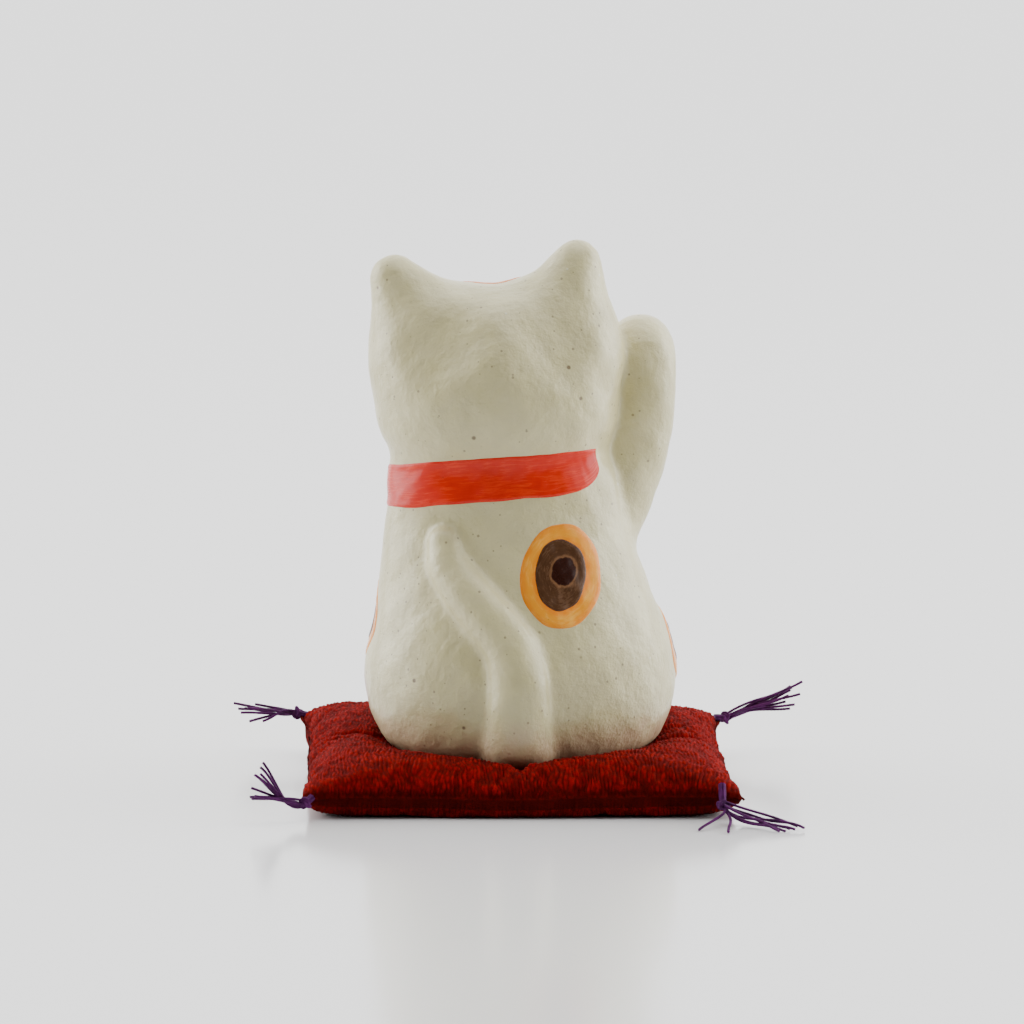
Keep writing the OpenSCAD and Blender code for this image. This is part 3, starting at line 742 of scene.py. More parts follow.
top_fine, top_uv, top_height = relief(top, FY_TOP, 1, 100, 1.0)
low_fine, low_uv, low_height = relief(low, FY_LOW, -1, 200, 0.6)
low_fine[..., 2] = np.maximum(low_fine[..., 2], 0.05)
top_fine[..., 2] = np.maximum(top_fine[..., 2], 0.1)
print("Crepe:", (FX + 1) * (FY_TOP + FY_LOW + 2), "points")


# %% Make the cushion one closed piece
def sewn(top_grid, low_grid, top_flat, low_flat):
    """One closed mesh of two panels that share their seam. The low panel has fewer rows, so each side
    seam is joined by triangles between rows of different counts."""
    n, m, k = FX + 1, FY_TOP + 1, FY_LOW + 1
    at_top = np.arange(n * m).reshape(n, m)
    at_low = -np.ones((n, k), int)
    at_low[:, 0], at_low[:, -1] = at_top[:, 0], at_top[:, -1]
    at_low[:, 1:-1] = n * m + np.arange(n * (k - 2)).reshape(n, k - 2)
    verts = np.vstack([top_grid.reshape(-1, 3), low_grid[:, 1:-1].reshape(-1, 3)])
    flat = np.vstack([top_flat.reshape(-1, 2), low_flat[:, 1:-1].reshape(-1, 2) + (0, 100)])
    faces = quads(at_top).tolist() + quads(at_low)[:, ::-1].tolist()
    for column, flip in ((0, False), (FX, True)):
        i = j = 0
        while i < FY_TOP or j < FY_LOW:
            if j == FY_LOW or (i < FY_TOP and (i + 1) / FY_TOP <= (j + 1) / FY_LOW + 1e-9):
                f = [at_top[column, i], at_top[column, i + 1], at_low[column, j]]
                i += 1
            else:
                f = [at_top[column, i], at_low[column, j + 1], at_low[column, j]]
                j += 1
            if len(set(f)) == 3:
                faces.append([int(a) for a in (f[::-1] if flip else f)])
    return verts, faces, flat


verts, faces, flat_uv = sewn(top_fine, low_fine, top_uv, low_uv)
relief_mm = np.concatenate([top_height.ravel(), low_height[:, 1:-1].ravel()])
cushion = add_mesh("crepe_cushion", verts, faces, flat_uv / 10, values={"relief": relief_mm})
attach(cushion, "cushion")
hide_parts("cushion_top_panel", "cushion_bottom_panel", "cushion_wadding", "seam_thread")
print("Cushion:", len(verts), "vertices")

# %% [markdown]
# ## The tassels
#
# A tassel is a bundle of plied threads: a neck from the corner, an overhand knot, and loose ends. The
# lines are drawn here. A Geometry Nodes tree gives every line its plies: a three-lobed section that
# turns as it goes along.

# %% The thread maker
def add(tree, kind, inputs=None, prefix="ShaderNode", **settings):
    """Adds a node, sets its settings, and sets or links its inputs."""
    n = tree.nodes.new(prefix + kind)
    for key, value in settings.items():
        setattr(n, key, value)
    for key, value in (inputs or {}).items():
        if isinstance(value, bpy.types.NodeSocket):
            tree.links.new(value, n.inputs[key])
        else:
            n.inputs[key].default_value = value
    return n


def thread_maker():
    """Turns lines into plied threads."""
    tree = bpy.data.node_groups.new("Plied thread", "GeometryNodeTree")
    face = tree.interface
    face.new_socket("Lines", in_out="INPUT", socket_type="NodeSocketGeometry")
    for name, low, high in (("Thread radius", 0.0, 1.0), ("Step", 0.00005, 1.0),
                            ("Turns per metre", -5000.0, 5000.0),
                            ("Ply depth", 0.0, 1.0)):
        s = face.new_socket(name, in_out="INPUT", socket_type="NodeSocketFloat")
        s.min_value, s.max_value = low, high
    face.new_socket("Material", in_out="INPUT", socket_type="NodeSocketMaterial")
    face.new_socket("Thread", in_out="OUTPUT", socket_type="NodeSocketGeometry")
    g = lambda kind, inputs=None, **settings: add(tree, kind, inputs, "", **settings)
    start = g("NodeGroupInput")
    line = g("GeometryNodeResampleCurve", {"Curve": start.outputs["Lines"],
            "Length": start.outputs["Step"]}, mode="LENGTH")
    along = g("GeometryNodeSplineParameter")
    turn = g("ShaderNodeMath", {0: along.outputs["Length"], 1: start.outputs["Turns per metre"]},
             operation="MULTIPLY")
    angle = g("ShaderNodeMath", {0: turn.outputs[0], 1: 2 * math.pi}, operation="MULTIPLY")
    twisted = g("GeometryNodeSetCurveTilt", {"Curve": line.outputs["Curve"], "Tilt": angle.outputs[0]})
    ring = g("GeometryNodeCurvePrimitiveCircle", {"Resolution": 15,
            "Radius": start.outputs["Thread radius"]})
    place = g("GeometryNodeInputPosition")
    xyz = g("ShaderNodeSeparateXYZ", {0: place.outputs[0]})
    about = g("ShaderNodeMath", {0: xyz.outputs["Y"], 1: xyz.outputs["X"]}, operation="ARCTAN2")
    lobes = g("ShaderNodeMath", {0: about.outputs[0], 1: 3.0}, operation="MULTIPLY")
    wave = g("ShaderNodeMath", {0: lobes.outputs[0]}, operation="COSINE")
    depth = g("ShaderNodeMath", {0: wave.outputs[0], 1: start.outputs["Ply depth"], 2: 1.0},
              operation="MULTIPLY_ADD")
    moved = g("ShaderNodeVectorMath", {0: place.outputs[0], "Scale": depth.outputs[0]},
              operation="SCALE")
    section = g("GeometryNodeSetPosition", {"Geometry": ring.outputs["Curve"],
            "Position": moved.outputs[0]})
    swept = g("GeometryNodeCurveToMesh", {"Curve": twisted.outputs["Curve"],
            "Profile Curve": section.outputs["Geometry"],
                                          "Fill Caps": True})
    real = g("GeometryNodeRealizeInstances", {"Geometry": swept.outputs["Mesh"]})
    painted = g("GeometryNodeSetMaterial", {"Geometry": real.outputs["Geometry"],
            "Material": start.outputs["Material"]})
    g("NodeGroupOutput", {"Thread": painted.outputs["Geometry"]})
    return tree


THREAD_TREE = thread_maker()


def threads(name, lines, material, radius=0.25, turns=1150.0, ply=0.2, step=0.11):
    """A mesh of plied threads along lines of points in mm."""
    data = bpy.data.curves.new(name, "CURVE")
    data.dimensions = "3D"
    for line in lines:
        spline = data.splines.new("POLY")
        spline.points.add(len(line) - 1)
        spline.points.foreach_set("co", np.hstack([np.array(line) * MM,
                np.ones((len(line), 1))]).ravel())
    rough = bpy.data.objects.new(name, data)
    bpy.context.scene.collection.objects.link(rough)
    maker = rough.modifiers.new("plies", "NODES")
    maker.node_group = THREAD_TREE
    ids = {s.name: s.identifier for s in THREAD_TREE.interface.items_tree if s.in_out == "INPUT"}
    for key, value in (("Thread radius", radius * MM), ("Step", step * MM), ("Turns per metre", turns),
                       ("Ply depth", ply), ("Material", material)):
        maker[ids[key]] = value
    mesh = bpy.data.meshes.new_from_object(rough.evaluated_get(bpy.context.evaluated_depsgraph_get()))
    bpy.data.objects.remove(rough)
    mesh.name = name
    obj = bpy.data.objects.new(name, mesh)
    bpy.context.scene.collection.objects.link(obj)
    mesh.polygons.foreach_set("use_smooth", [True] * len(mesh.polygons))
    return obj


# %% [markdown]
# Each tassel is laid out one by one: where its knot sits, and where its threads end.

# %% Lay out the tassels
PURPLE = bpy.data.materials.new("Purple thread")


def knot_lines(centre, axis, size=(1.5, 0.62), strands=3):
    """Strands side by side round an overhand knot."""
    axis = np.array(axis, float) / np.linalg.norm(axis)
    side = np.cross(axis, (0.2, 0.3, 1.0))
    side /= np.linalg.norm(side)
    up = np.cross(axis, side)
    t = np.linspace(0, 2 * np.pi, 90)
    path = np.stack([np.sin(t) + 2 * np.sin(2 * t), np.cos(t) - 2 * np.cos(2 * t),
                     -1.6 * np.sin(3 * t)], -1)
    along = np.gradient(path, axis=0)
    along /= np.linalg.norm(along, axis=1, keepdims=True)
    out = path / np.linalg.norm(path, axis=1, keepdims=True)
    across = np.cross(along, out)
    lines = []
    for k in range(strands):
        turn = 2 * np.pi * k / strands
        q = path * size[1] * 0.5 + 0.27 * (np.cos(turn) * out + np.sin(turn) * across)
        lines.append(np.array(centre) + (q[:, 2:] * axis * size[0] * 0.55 + q[:, :1] * side + q[:, 1:2] * up))
    return lines


def loose_end(start, leave, end, rng, bow=0.4):
    """A thread from the knot that sets off the way `leave` says and ends at `end`."""
    start, end = np.array(start, float), np.array(end, float)
    reach = np.linalg.norm(end - start)
    a = start + np.array(leave, float) / np.linalg.norm(leave) * reach * bow + rng.normal(0, 0.25, 3)
    b = end + (start - end) * 0.35 + rng.normal(0, 0.35, 3)
    t = np.linspace(0, 1, 40)[:, None]
    line = (1 - t) ** 3 * start + 3 * (1 - t) ** 2 * t * a + 3 * (1 - t) * t * t * b + t**3 * end
    wave = np.sin(t * rng.uniform(5, 9) + rng.uniform(0, 6)) * 0.12 * t
    line = line + wave * rng.normal(0, 1, 3)
    line[:, 2] = np.maximum(line[:, 2], 0.32)
    return line


# %% Where the tassels lie
TASSELS = {
    "tassel_front_left": dict(corner=(43.0, -37.5, 7.4), knot=(45.0, -38.4, 7.7),
                              leave=(1, -0.05, 0.12), ends=[
        (57.6, -38.2, 9.7), (56.8, -39.6, 8.3), (56.4, -37.2, 7.9), (54.6, -37.9, 6.0),
                (53.4, -39.2, 9.2),
        (54.9, -36.6, 8.9), (51.9, -37.2, 6.2), (55.6, -38.8, 8.7)]),
    "tassel_back_left": dict(corner=(40.2, 37.8, 4.6), knot=(41.6, 39.0, 3.6),
                             leave=(1, 0.25, 0.05), ends=[
        (49.6, 40.2, 11.7), (50.1, 41.2, 11.0), (50.9, 40.6, 9.2), (51.0, 42.4, 9.6), (51.8, 41.0, 7.0),
        (52.0, 42.6, 5.5), (51.5, 43.6, 5.3), (50.0, 42.0, 9.9), (51.1, 43.8, 5.9)]),
    "tassel_front_right": dict(corner=(-38.6, -37.3, 6.9), knot=(-40.8, -38.2, 6.7),
                               leave=(-1, -0.05, 0.42), ends=[
        (-56.2, -38.0, 14.2), (-54.2, -39.4, 12.6), (-55.9, -37.2, 11.8), (-53.9, -38.8, 12.2),
                (-54.6, -36.8, 9.7),
        (-53.9, -39.6, 8.4), (-53.6, -37.8, 11.2), (-52.9, -38.6, 9.9), (-54.0, -39.9, 12.9)]),
    "tassel_back_right": dict(corner=(-38.3, 38.0, 7.2), knot=(-38.4, 40.3, 3.6),
                              leave=(-0.75, 0.55, -0.5), ends=[
        (-53.6, 48.4, 0.4), (-51.8, 49.6, 0.4), (-50.9, 48.6, 0.4), (-50.0, 50.2, 0.4),
                (-48.9, 50.6, 0.4),
        (-52.4, 47.6, 0.9), (-51.0, 47.0, 1.3), (-33.6, 49.4, 0.4), (-39.2, 51.6, 0.4),
                (-50.2, 48.2, 0.7)]),
}

# %% Make the tassels
tassel_pieces = []
for k, (name, t) in enumerate(TASSELS.items()):
    r = np.random.default_rng(300 + k)
    corner, knot = np.array(t["corner"]), np.array(t["knot"])
    axis = knot - corner
    axis /= np.linalg.norm(axis)
    neck_lines = []
    for j in range(6):
        turn = j * math.pi / 3
        side = np.cross(axis, (0, 0.3, 1.0))
        side /= np.linalg.norm(side)
        off = 0.36 * (math.cos(turn) * side + math.sin(turn) * np.cross(axis, side))
        s = np.linspace(0, 1, 12)[:, None]
        neck_lines.append(corner + off * 1.2 + (knot - corner) * s + off * (0.6 * s - 0.8 * s * s))
    neck = threads(name + "_neck", neck_lines + knot_lines(knot, axis), PURPLE)
    leave = np.array(t["leave"], float) / np.linalg.norm(t["leave"])
    ends = [loose_end(knot + 0.35 * r.normal(0, 1, 3), leave + 0.18 * r.normal(0, 1, 3), e,
                      r) for e in t["ends"]]
    loose = threads(name + "_ends", ends, PURPLE)
    for obj, node in ((neck, name + "_knot"), (loose, name + "_threads")):
        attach(obj, name)
        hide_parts(node)
        tassel_pieces.append(obj)
print("Tassels:", sum(len(o.data.polygons) for o in tassel_pieces) * 2, "triangles")

# %% [markdown]
# ## Finishes
#
# Two shared effects are node groups: the speckled glaze and the brushed enamel. They put out a colour, a
# roughness and a height. Each material adds its own shader. Distances in textures are in metres, so a
# scale of 100 gives features of a centimetre.

# %% Small helpers for materials
def mix_colour(tree, factor, a, b, mode="MIX"):
    n = add(tree, "Mix", data_type="RGBA", blend_type=mode)
    for socket, value in ((0, factor), (6, a), (7, b)):
        if isinstance(value, bpy.types.NodeSocket):
            tree.links.new(value, n.inputs[socket])
        else:
            n.inputs[socket].default_value = value if socket == 0 else (*value[:3], 1.0)
    return n.outputs[2]


def calc(tree, operation, a, b=0.0):
    return add(tree, "Math", {0: a, 1: b}, operation=operation).outputs[0]


def times(tree, a, b):
    return calc(tree, "MULTIPLY", a, b)


def plus(tree, a, b):
    return calc(tree, "ADD", a, b)


def minus(tree, a, b):
    return calc(tree, "SUBTRACT", a, b)


def between(tree, value, low, high):
    """0 below low, 1 above high, and smooth between them."""
    return add(tree, "MapRange", {"Value": value, "From Min": low, "From Max": high},
               interpolation_type="SMOOTHSTEP").outputs[0]


def noise(tree, vector, scale, detail=3.0, roughness=0.55, distortion=0.0):
    return add(tree, "TexNoise", {"Vector": vector, "Scale": scale, "Detail": detail,
                                  "Roughness": roughness,
                                  "Distortion": distortion}).outputs[0]


def specks(tree, vector, pitch_mm, radius_mm, share):
    """Round specks of about that radius, one cell in 1/share having one."""
    cell = add(tree, "TexVoronoi", {"Vector": vector, "Scale": 1000.0 / pitch_mm, "Randomness": 1.0})
    size = add(tree, "SeparateColor", {0: cell.outputs["Color"]})
    radius = times(tree, calc(tree, "POWER", size.outputs[1], 1.5), radius_mm * 1.6 / pitch_mm)
    inside = minus(tree, radius, cell.outputs["Distance"])
    spot = between(tree, inside, -0.02, 0.05)
    return times(tree, spot, calc(tree, "LESS_THAN", size.outputs[0], share))


def new_group(name, ins, outs):
    tree = bpy.data.node_groups.new(name, "ShaderNodeTree")
    for key, kind in ins:
        tree.interface.new_socket(key, in_out="INPUT", socket_type=kind)
    for key, kind in outs:
        tree.interface.new_socket(key, in_out="OUTPUT", socket_type=kind)
    return tree, tree.nodes.new("NodeGroupInput"), tree.nodes.new("NodeGroupOutput")


def put_out(tree, end, colour, rough, height):
    for key, socket in (("Colour", colour), ("Roughness", rough.outputs[0]), ("Height", height)):
        tree.links.new(socket, end.inputs[key])
    return tree


VECTOR, COLOUR, FLOAT = "NodeSocketVector", "NodeSocketColor", "NodeSocketFloat"


# %% The two shared effects
def speckled_glaze():
    tree, start, end = new_group("Speckled glaze",
                                 [("Vector", VECTOR), ("Base colour", COLOUR),
                                  ("Shade colour", COLOUR)],
                                 [("Colour", COLOUR), ("Roughness", FLOAT), ("Height", FLOAT)])
    at = start.outputs["Vector"]
    broad = noise(tree, at, 55, 4, 0.6)
    cloud = noise(tree, at, 210, 5, 0.65)
    colour = mix_colour(tree, between(tree, broad, 0.30, 0.70), start.outputs["Base colour"],
                        start.outputs["Shade colour"])
    colour = mix_colour(tree, times(tree, between(tree, cloud, 0.35, 0.75), 0.22), colour,
                        (0.42, 0.37, 0.25))
    grain = noise(tree, at, 1900, 3, 0.6)
    colour = mix_colour(tree, times(tree, between(tree, grain, 0.55, 0.8), 0.22), colour,
                        (0.30, 0.27, 0.20))
    small = specks(tree, at, 1.3, 0.19, 0.6)
    large = specks(tree, at, 4.6, 0.33, 0.7)
    pale = specks(tree, at, 3.1, 0.22, 0.25)
    colour = mix_colour(tree, times(tree, pale, 0.35), colour, (0.74, 0.73, 0.66))
    colour = mix_colour(tree, times(tree, small, 0.6), colour, (0.13, 0.09, 0.05))
    colour = mix_colour(tree, times(tree, large, 0.8), colour, (0.11, 0.06, 0.03))
    height = times(tree, noise(tree, at, 260, 4, 0.6), 0.00055)
    height = plus(tree, height, times(tree, noise(tree, at, 900, 3, 0.6), 0.00013))
    height = minus(tree, height, times(tree, large, 0.00006))
    height = plus(tree, height, times(tree, pale, 0.00005))
    rough = add(tree, "MapRange", {"Value": cloud, "From Min": 0.3, "From Max": 0.7, "To Min": 0.36,
                                   "To Max": 0.52})
    return put_out(tree, end, colour, rough, height)


# %% Brushed enamel
def brushed_enamel():
    tree, start, end = new_group("Brushed enamel",
                                 [("Flat place", VECTOR), ("Place", VECTOR), ("Thick colour", COLOUR),
                                                    ("Thin colour", COLOUR), ("Thinness", FLOAT)],
                                 [("Colour", COLOUR), ("Roughness", FLOAT), ("Height", FLOAT)])
    stroke = add(tree, "Mapping", {"Vector": start.outputs["Flat place"],
                                   "Scale": (0.55, 5.5, 1.0)}).outputs[0]
    streak = noise(tree, stroke, 4.2, 6, 0.62, 0.4)
    pool = noise(tree, start.outputs["Flat place"], 1.7, 3, 0.5)
    thin = plus(tree, times(tree, streak, 0.62), times(tree, pool, 0.38))
    thin = plus(tree, thin, start.outputs["Thinness"])
    colour = mix_colour(tree, between(tree, thin, 0.42, 0.80), start.outputs["Thick colour"],
                        start.outputs["Thin colour"])
    dots = specks(tree, start.outputs["Place"], 1.7, 0.10, 0.25)
    colour = mix_colour(tree, times(tree, dots, 0.5), colour, (0.10, 0.03, 0.02))
    height = times(tree, streak, 0.000014)
    height = plus(tree, height, times(tree, noise(tree, start.outputs["Place"], 500, 3, 0.6), 0.00006))
    rough = add(tree, "MapRange", {"Value": thin, "From Min": 0.3, "From Max": 0.75, "To Min": 0.20,
                                   "To Max": 0.34})
    return put_out(tree, end, colour, rough, height)


GLAZE = speckled_glaze()
ENAMEL = brushed_enamel()


# %% Materials from the shared effects
def new_material(name, material=None):
    m = material or bpy.data.materials.new(name)
    m.use_nodes = True
    tree = m.node_tree
    tree.nodes.clear()
    shader = tree.nodes.new("ShaderNodeBsdfPrincipled")
    out = tree.nodes.new("ShaderNodeOutputMaterial")
    tree.links.new(shader.outputs[0], out.inputs[0])
    return m, tree, shader


def shared(tree, group, inputs):
    """Puts a shared effect in a material."""
    n = tree.nodes.new("ShaderNodeGroup")
    n.node_tree = group
    for key, value in inputs.items():
        if isinstance(value, bpy.types.NodeSocket):
            tree.links.new(value, n.inputs[key])
        else:
            n.inputs[key].default_value = (*value, 1.0) if isinstance(value, tuple) and len(value) == 3 else value
    return n


def bump(tree, shader, height, strength=1.0):
    n = add(tree, "Bump", {"Strength": strength, "Distance": 1.0, "Height": height})
    tree.links.new(n.outputs[0], shader.inputs["Normal"])


# %% Glaze and enamels
def glaze_material():
    m, tree, shader = new_material("Off-white glaze")
    at = add(tree, "TexCoord").outputs["Object"]
    base = shared(tree, GLAZE, {"Vector": at, "Base colour": (0.61, 0.555, 0.30),
                                "Shade colour": (0.52, 0.47, 0.235)})
    xyz = add(tree, "SeparateXYZ", {0: at})
    drift_z = times(tree, minus(tree, noise(tree, at, 130, 5, 0.7), 0.5), 0.016)
    above = plus(tree, minus(tree, xyz.outputs["Z"], SEAT * MM), drift_z)
    blush = minus(tree, 1.0, between(tree, above, 0.003, 0.013))
    colour = mix_colour(tree, times(tree, blush, 0.62), base.outputs["Colour"], (0.52, 0.33, 0.22))
    foot = minus(tree, 1.0, between(tree, above, -0.0005, 0.0035))
    colour = mix_colour(tree, times(tree, foot, 0.75), colour, (0.36, 0.17, 0.10))
    gap = add(tree, "VectorMath", {0: at, 1: (0.0285, -0.004, SEAT * MM + 0.012)},
              operation="DISTANCE").outputs["Value"]
    iron = minus(tree, 1.0, between(tree, plus(tree, gap, drift_z), 0.002, 0.008))
    colour = mix_colour(tree, times(tree, iron, 0.8), colour, (0.30, 0.10, 0.05))
    tree.links.new(colour, shader.inputs["Base Color"])
    tree.links.new(base.outputs["Roughness"], shader.inputs["Roughness"])
    shader.inputs["Specular IOR Level"].default_value = 0.45
    shader.inputs["Coat Weight"].default_value = 0.42
    shader.inputs["Coat Roughness"].default_value = 0.18
    bump(tree, shader, base.outputs["Height"], 0.9)
    return m


AMBER_THICK, AMBER_THIN = (0.76, 0.28, 0.012), (0.86, 0.50, 0.09)


def enamel_material(name, thick, thin, thinness=0.0, edge=None, core=None, half=None, coat=0.6):
    """edge darkens an oval's rim, and core paints its middle. half is the oval's half size in mm."""
    m, tree, shader = new_material(name)
    coords = add(tree, "TexCoord")
    flat_place = coords.outputs["UV"]
    if half:
        # on an oval the brush goes round and round
        size = add(tree, "Mapping", {"Vector": coords.outputs["UV"], "Scale": (10 / half[0],
                10 / half[1], 0.0)}).outputs[0]
        r = add(tree, "VectorMath", {0: size}, operation="LENGTH").outputs["Value"]
        way = add(tree, "SeparateXYZ", {0: add(tree, "VectorMath", {0: size},
                operation="NORMALIZE").outputs[0]})
        flat_place = add(tree, "CombineXYZ", {0: times(tree, way.outputs[0], 1.3),
                1: times(tree, r, 0.62),
                                              2: times(tree, way.outputs[1], 0.75)}).outputs[0]
    group = shared(tree, ENAMEL, {"Flat place": flat_place, "Place": coords.outputs["Object"],
                                   "Thick colour": thick, "Thin colour": thin, "Thinness": thinness})
    colour = group.outputs["Colour"]
    if half:
        ragged = plus(tree, r, times(tree, minus(tree, noise(tree, coords.outputs["UV"], 3.5, 5,
                0.65), 0.5), 0.22))
        if edge:
            colour = mix_colour(tree, times(tree, between(tree, ragged, 0.80, 0.99), 0.6), colour, edge)
            ring = times(tree, between(tree, ragged, 0.50, 0.60),
                         minus(tree, 1.0, between(tree, ragged, 0.62, 0.76)))
            colour = mix_colour(tree, times(tree, ring, 0.75), colour, edge)
        if core:
            place = add(tree, "Mapping", {"Vector": coords.outputs["UV"], "Location": (-0.25, -0.23,
                    0.0),
                                          "Scale": (10 / 2.4, 10 / 2.6, 0.0)}).outputs[0]
            c = add(tree, "VectorMath", {0: place}, operation="LENGTH").outputs["Value"]
            c = plus(tree, c, times(tree, minus(tree, noise(tree, coords.outputs["UV"], 4.5, 3,
                    0.6), 0.5), 0.5))
            line = times(tree, between(tree, c, 0.95, 1.05),
                         minus(tree, 1.0, between(tree, c, 1.08, 1.25)))
            colour = mix_colour(tree, times(tree, line, 0.5), colour, (0.25, 0.12, 0.055))
            colour = mix_colour(tree, minus(tree, 1.0, between(tree, c, 0.93, 1.03)), colour, core)
    tree.links.new(colour, shader.inputs["Base Color"])
    tree.links.new(group.outputs["Roughness"], shader.inputs["Roughness"])
    shader.inputs["Specular IOR Level"].default_value = 0.16
    shader.inputs["Coat Weight"].default_value = coat
    shader.inputs["Coat Roughness"].default_value = 0.12
    bump(tree, shader, group.outputs["Height"], 0.8)
    return m


# %% Paint the cat
def paint(material, *objs):
    for o in objs:
        o.data.materials.clear()
        o.data.materials.append(material)


RED = enamel_material("Red enamel", (0.56, 0.012, 0.002), (0.80, 0.050, 0.008), coat=0.06)
AMBER = enamel_material("Amber enamel", AMBER_THICK, AMBER_THIN, edge=(0.74, 0.17, 0.004),
                        half=(7.95, 10.2), coat=0.12)
FOREHEAD = enamel_material("Forehead enamel", AMBER_THICK, AMBER_THIN, edge=(0.60, 0.06, 0.01),
                           half=(8.6, 8.4), coat=0.12)
BROWN = enamel_material("Brown enamel", (0.060, 0.026, 0.011), (0.16, 0.080, 0.040),
                        core=(0.024, 0.006, 0.003), half=(5.0, 6.6), coat=0.1)
BLACK = enamel_material("Black enamel", (0.006, 0.005, 0.005), (0.02, 0.016, 0.014), coat=0.8)
OCHRE = enamel_material("Ochre enamel", (0.52, 0.27, 0.03), (0.70, 0.44, 0.10), coat=0.7)
LINE_BROWN = enamel_material("Line enamel", (0.045, 0.020, 0.012), (0.12, 0.06, 0.035))

paint(glaze_material(), cat)
paint(RED, collar, nose, *ear_films)
paint(AMBER, *[o for o in ambers if o is not crown])
paint(FOREHEAD, crown)
paint(BROWN, *browns)
paint(OCHRE, *eye_films, bell)
paint(BLACK, *pupil_films, *[o for o in lines if o.name.startswith("brow")])
paint(LINE_BROWN, *[o for o in lines if not o.name.startswith("brow")])


# %% Crepe and thread
def crepe_material():
    m, tree, shader = new_material("Red crepe")
    coords = add(tree, "TexCoord")
    uv = coords.outputs["UV"]
    relief = add(tree, "Attribute", attribute_name="relief").outputs["Fac"]
    # Painted shade: the red is darkened where the relief is low. That is in the valleys between ribs, in the tuck
    # along the seam and, as its ribs are lower, over more of the bottom panel.
    painted_valley_shade = minus(tree, 1.0, between(tree, relief, -0.10, 0.34))
    patch = noise(tree, uv, 1.1, 3, 0.6)
    colour = mix_colour(tree, patch, (0.165, 0.0020, 0.0014), (0.235, 0.0034, 0.0022))
    colour = mix_colour(tree, times(tree, painted_valley_shade, 0.9), colour, (0.035, 0.0003, 0.0002))
    split = add(tree, "SeparateXYZ", {0: uv})
    warp = times(tree, noise(tree, uv, 14, 3, 0.6), 0.05)
    across = calc(tree, "SINE", times(tree, plus(tree, split.outputs["X"], warp), 2 * math.pi / 0.026))
    down = calc(tree, "SINE", times(tree, plus(tree, split.outputs["Y"], warp), 2 * math.pi / 0.030))
    weave = times(tree, across, down)
    # Painted highlight: the weave's raised crossings are painted a lighter red.
    colour = mix_colour(tree, times(tree, between(tree, weave, -0.6, 0.9), 0.25), colour,
                        (0.58, 0.012, 0.006))
    fibre = noise(tree, coords.outputs["Object"], 5200, 3, 0.6)
    knot_place = add(tree, "Mapping", {"Vector": uv, "Scale": (13.7, 8.0, 1.0)}).outputs[0]
    knots = add(tree, "TexVoronoi", {"Vector": knot_place, "Scale": 1.0}).outputs["Distance"]
    # Painted shade: the gaps between the crinkle's small knots, where the bump sinks the cloth, are painted
    # darker.
    colour = mix_colour(tree, times(tree, between(tree, knots, 0.30, 0.75), 0.6), colour,
                        (0.040, 0.0004, 0.0003))
    height = plus(tree, times(tree, weave, 0.000028), times(tree, fibre, 0.00007))
    height = minus(tree, height, times(tree, knots, 0.00022))
    tree.links.new(colour, shader.inputs["Base Color"])
    shader.inputs["Roughness"].default_value = 0.85
    shader.inputs["Specular IOR Level"].default_value = 0.05
    shader.inputs["Sheen Weight"].default_value = 0.01
    shader.inputs["Sheen Roughness"].default_value = 0.45
    shader.inputs["Sheen Tint"].default_value = (1.0, 0.30, 0.22, 1.0)
    bump(tree, shader, height, 1.0)
    return m


def thread_material(m, base, light):
    m, tree, shader = new_material(m.name, m)
    at = add(tree, "TexCoord").outputs["Object"]
    patch = noise(tree, at, 420, 3, 0.6)
    fibre = noise(tree, at, 6500, 2, 0.6)
    colour = mix_colour(tree, between(tree, patch, 0.3, 0.7), base, light)
    colour = mix_colour(tree, times(tree, between(tree, fibre, 0.45, 0.75), 0.4), colour,
                        tuple(c * 0.35 for c in base))
    tree.links.new(colour, shader.inputs["Base Color"])
    shader.inputs["Roughness"].default_value = 0.62
    shader.inputs["Specular IOR Level"].default_value = 0.2
    shader.inputs["Sheen Weight"].default_value = 0.03
    shader.inputs["Sheen Roughness"].default_value = 0.4
    bump(tree, shader, times(tree, fibre, 0.00003), 1.0)
    return m


paint(crepe_material(), cushion)
thread_material(PURPLE, (0.055, 0.0035, 0.062), (0.115, 0.009, 0.120))

# %% [markdown]
# ## The picture
#
# The figurine is seen from behind and a little above, with a long lens. It stands on a pale glossy sheet
# in a white tent that glows on the side away from the camera. One lamp is above, one is beside the cat and
# one is at each wall.

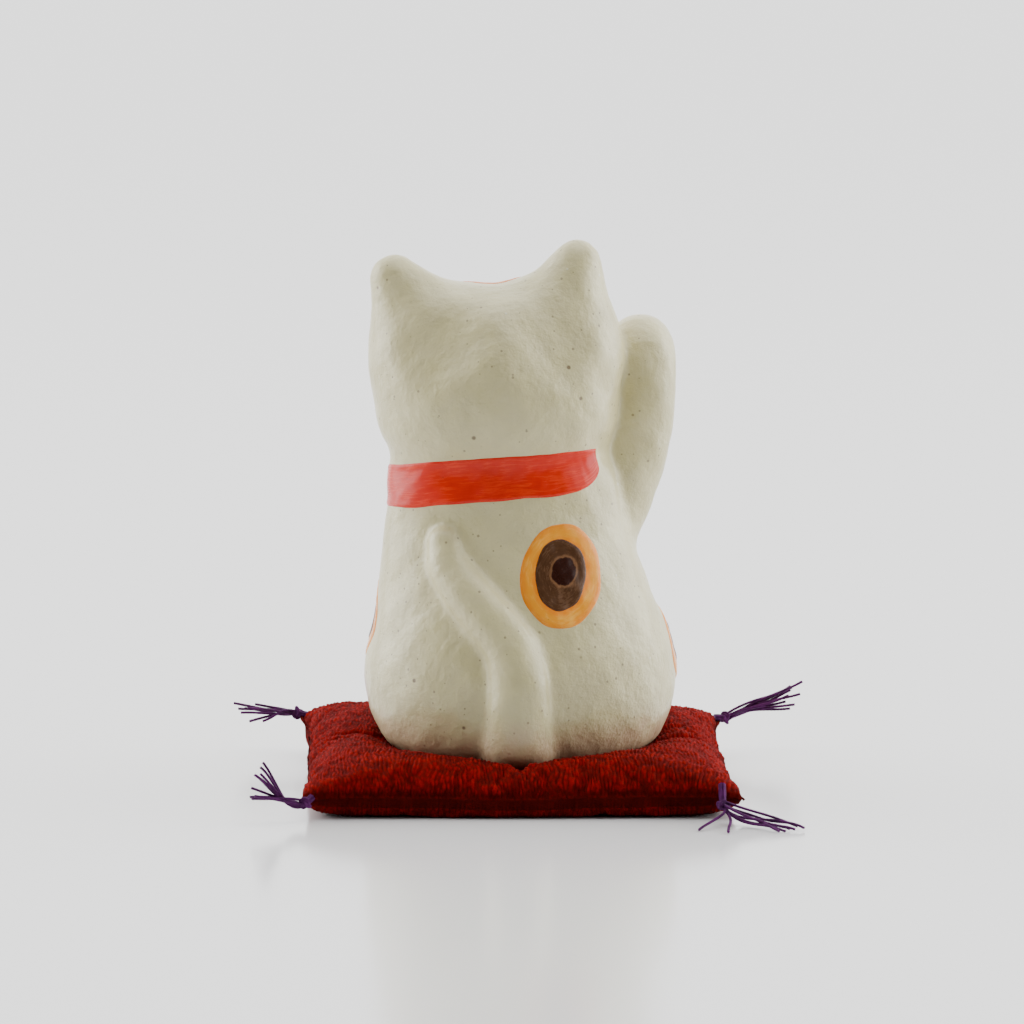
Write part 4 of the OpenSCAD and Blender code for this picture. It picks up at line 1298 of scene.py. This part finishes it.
# %% Camera, light and floor
AIM = np.array([1.95, 0.0, 54.2]) * MM
REACH, RISE = 1.6, math.radians(8.5)
camera_data = bpy.data.cameras.new("camera")
camera_data.lens = 288
camera_data.sensor_width = 36
camera = bpy.data.objects.new("camera", camera_data)
camera.location = AIM + REACH * np.array([0, math.cos(RISE), math.sin(RISE)])
camera.rotation_euler = (math.pi / 2 - RISE, 0, math.pi)
bpy.context.scene.collection.objects.link(camera)
bpy.context.scene.camera = camera


def lamp(name, place, aim, size, watts, colour=(1, 1, 1)):
    data = bpy.data.lights.new(name, "AREA")
    data.shape = "RECTANGLE"
    data.size, data.size_y = size
    data.energy = watts
    data.color = colour
    obj = bpy.data.objects.new(name, data)
    obj.location = place
    way = np.array(place) - np.array(aim)
    obj.rotation_euler = Vector(way).to_track_quat("Z", "Y").to_euler()
    bpy.context.scene.collection.objects.link(obj)
    return obj


lamp("top", (-0.10, 0.10, 0.95), (0, 0, 0.05), (0.8, 0.8), 2.0)
lamp("side", (-0.85, 0.45, 0.40), (0, 0, 0.05), (0.35, 0.5), 1.2)
lamp("left wall", (0.9, -0.25, 0.30), (0, 0, 0.05), (0.8, 0.8), 9.0)
lamp("right wall", (-0.9, -0.25, 0.30), (0, 0, 0.05), (0.8, 0.8), 9.0)

world = bpy.data.worlds.new("white tent")
bpy.context.scene.world = world
world.use_nodes = True
tent = world.node_tree
way = add(tent, "SeparateXYZ", {0: add(tent, "TexCoord").outputs["Generated"]})
glow = add(tent, "MapRange", {"Value": way.outputs["Y"], "From Min": -0.1, "From Max": 0.6,
                              "To Min": 2.55, "To Max": 0.08},
           interpolation_type="SMOOTHSTEP")
tent.nodes["Background"].inputs[0].default_value = (1.0, 1.0, 1.0, 1)
tent.links.new(glow.outputs[0], tent.nodes["Background"].inputs[1])

floor = add_mesh("floor", np.array([[-3000, -6000, 0], [3000, -6000, 0], [3000, 1400, 0],
                                    [-3000, 1400, 0]]), [[0, 1, 2, 3]])
m, tree, shader = new_material("Pale sheet")
shader.inputs["Base Color"].default_value = (0.77, 0.77, 0.77, 1)
shader.inputs["Roughness"].default_value = 0.17
shader.inputs["Specular IOR Level"].default_value = 0.75
paint(m, floor)
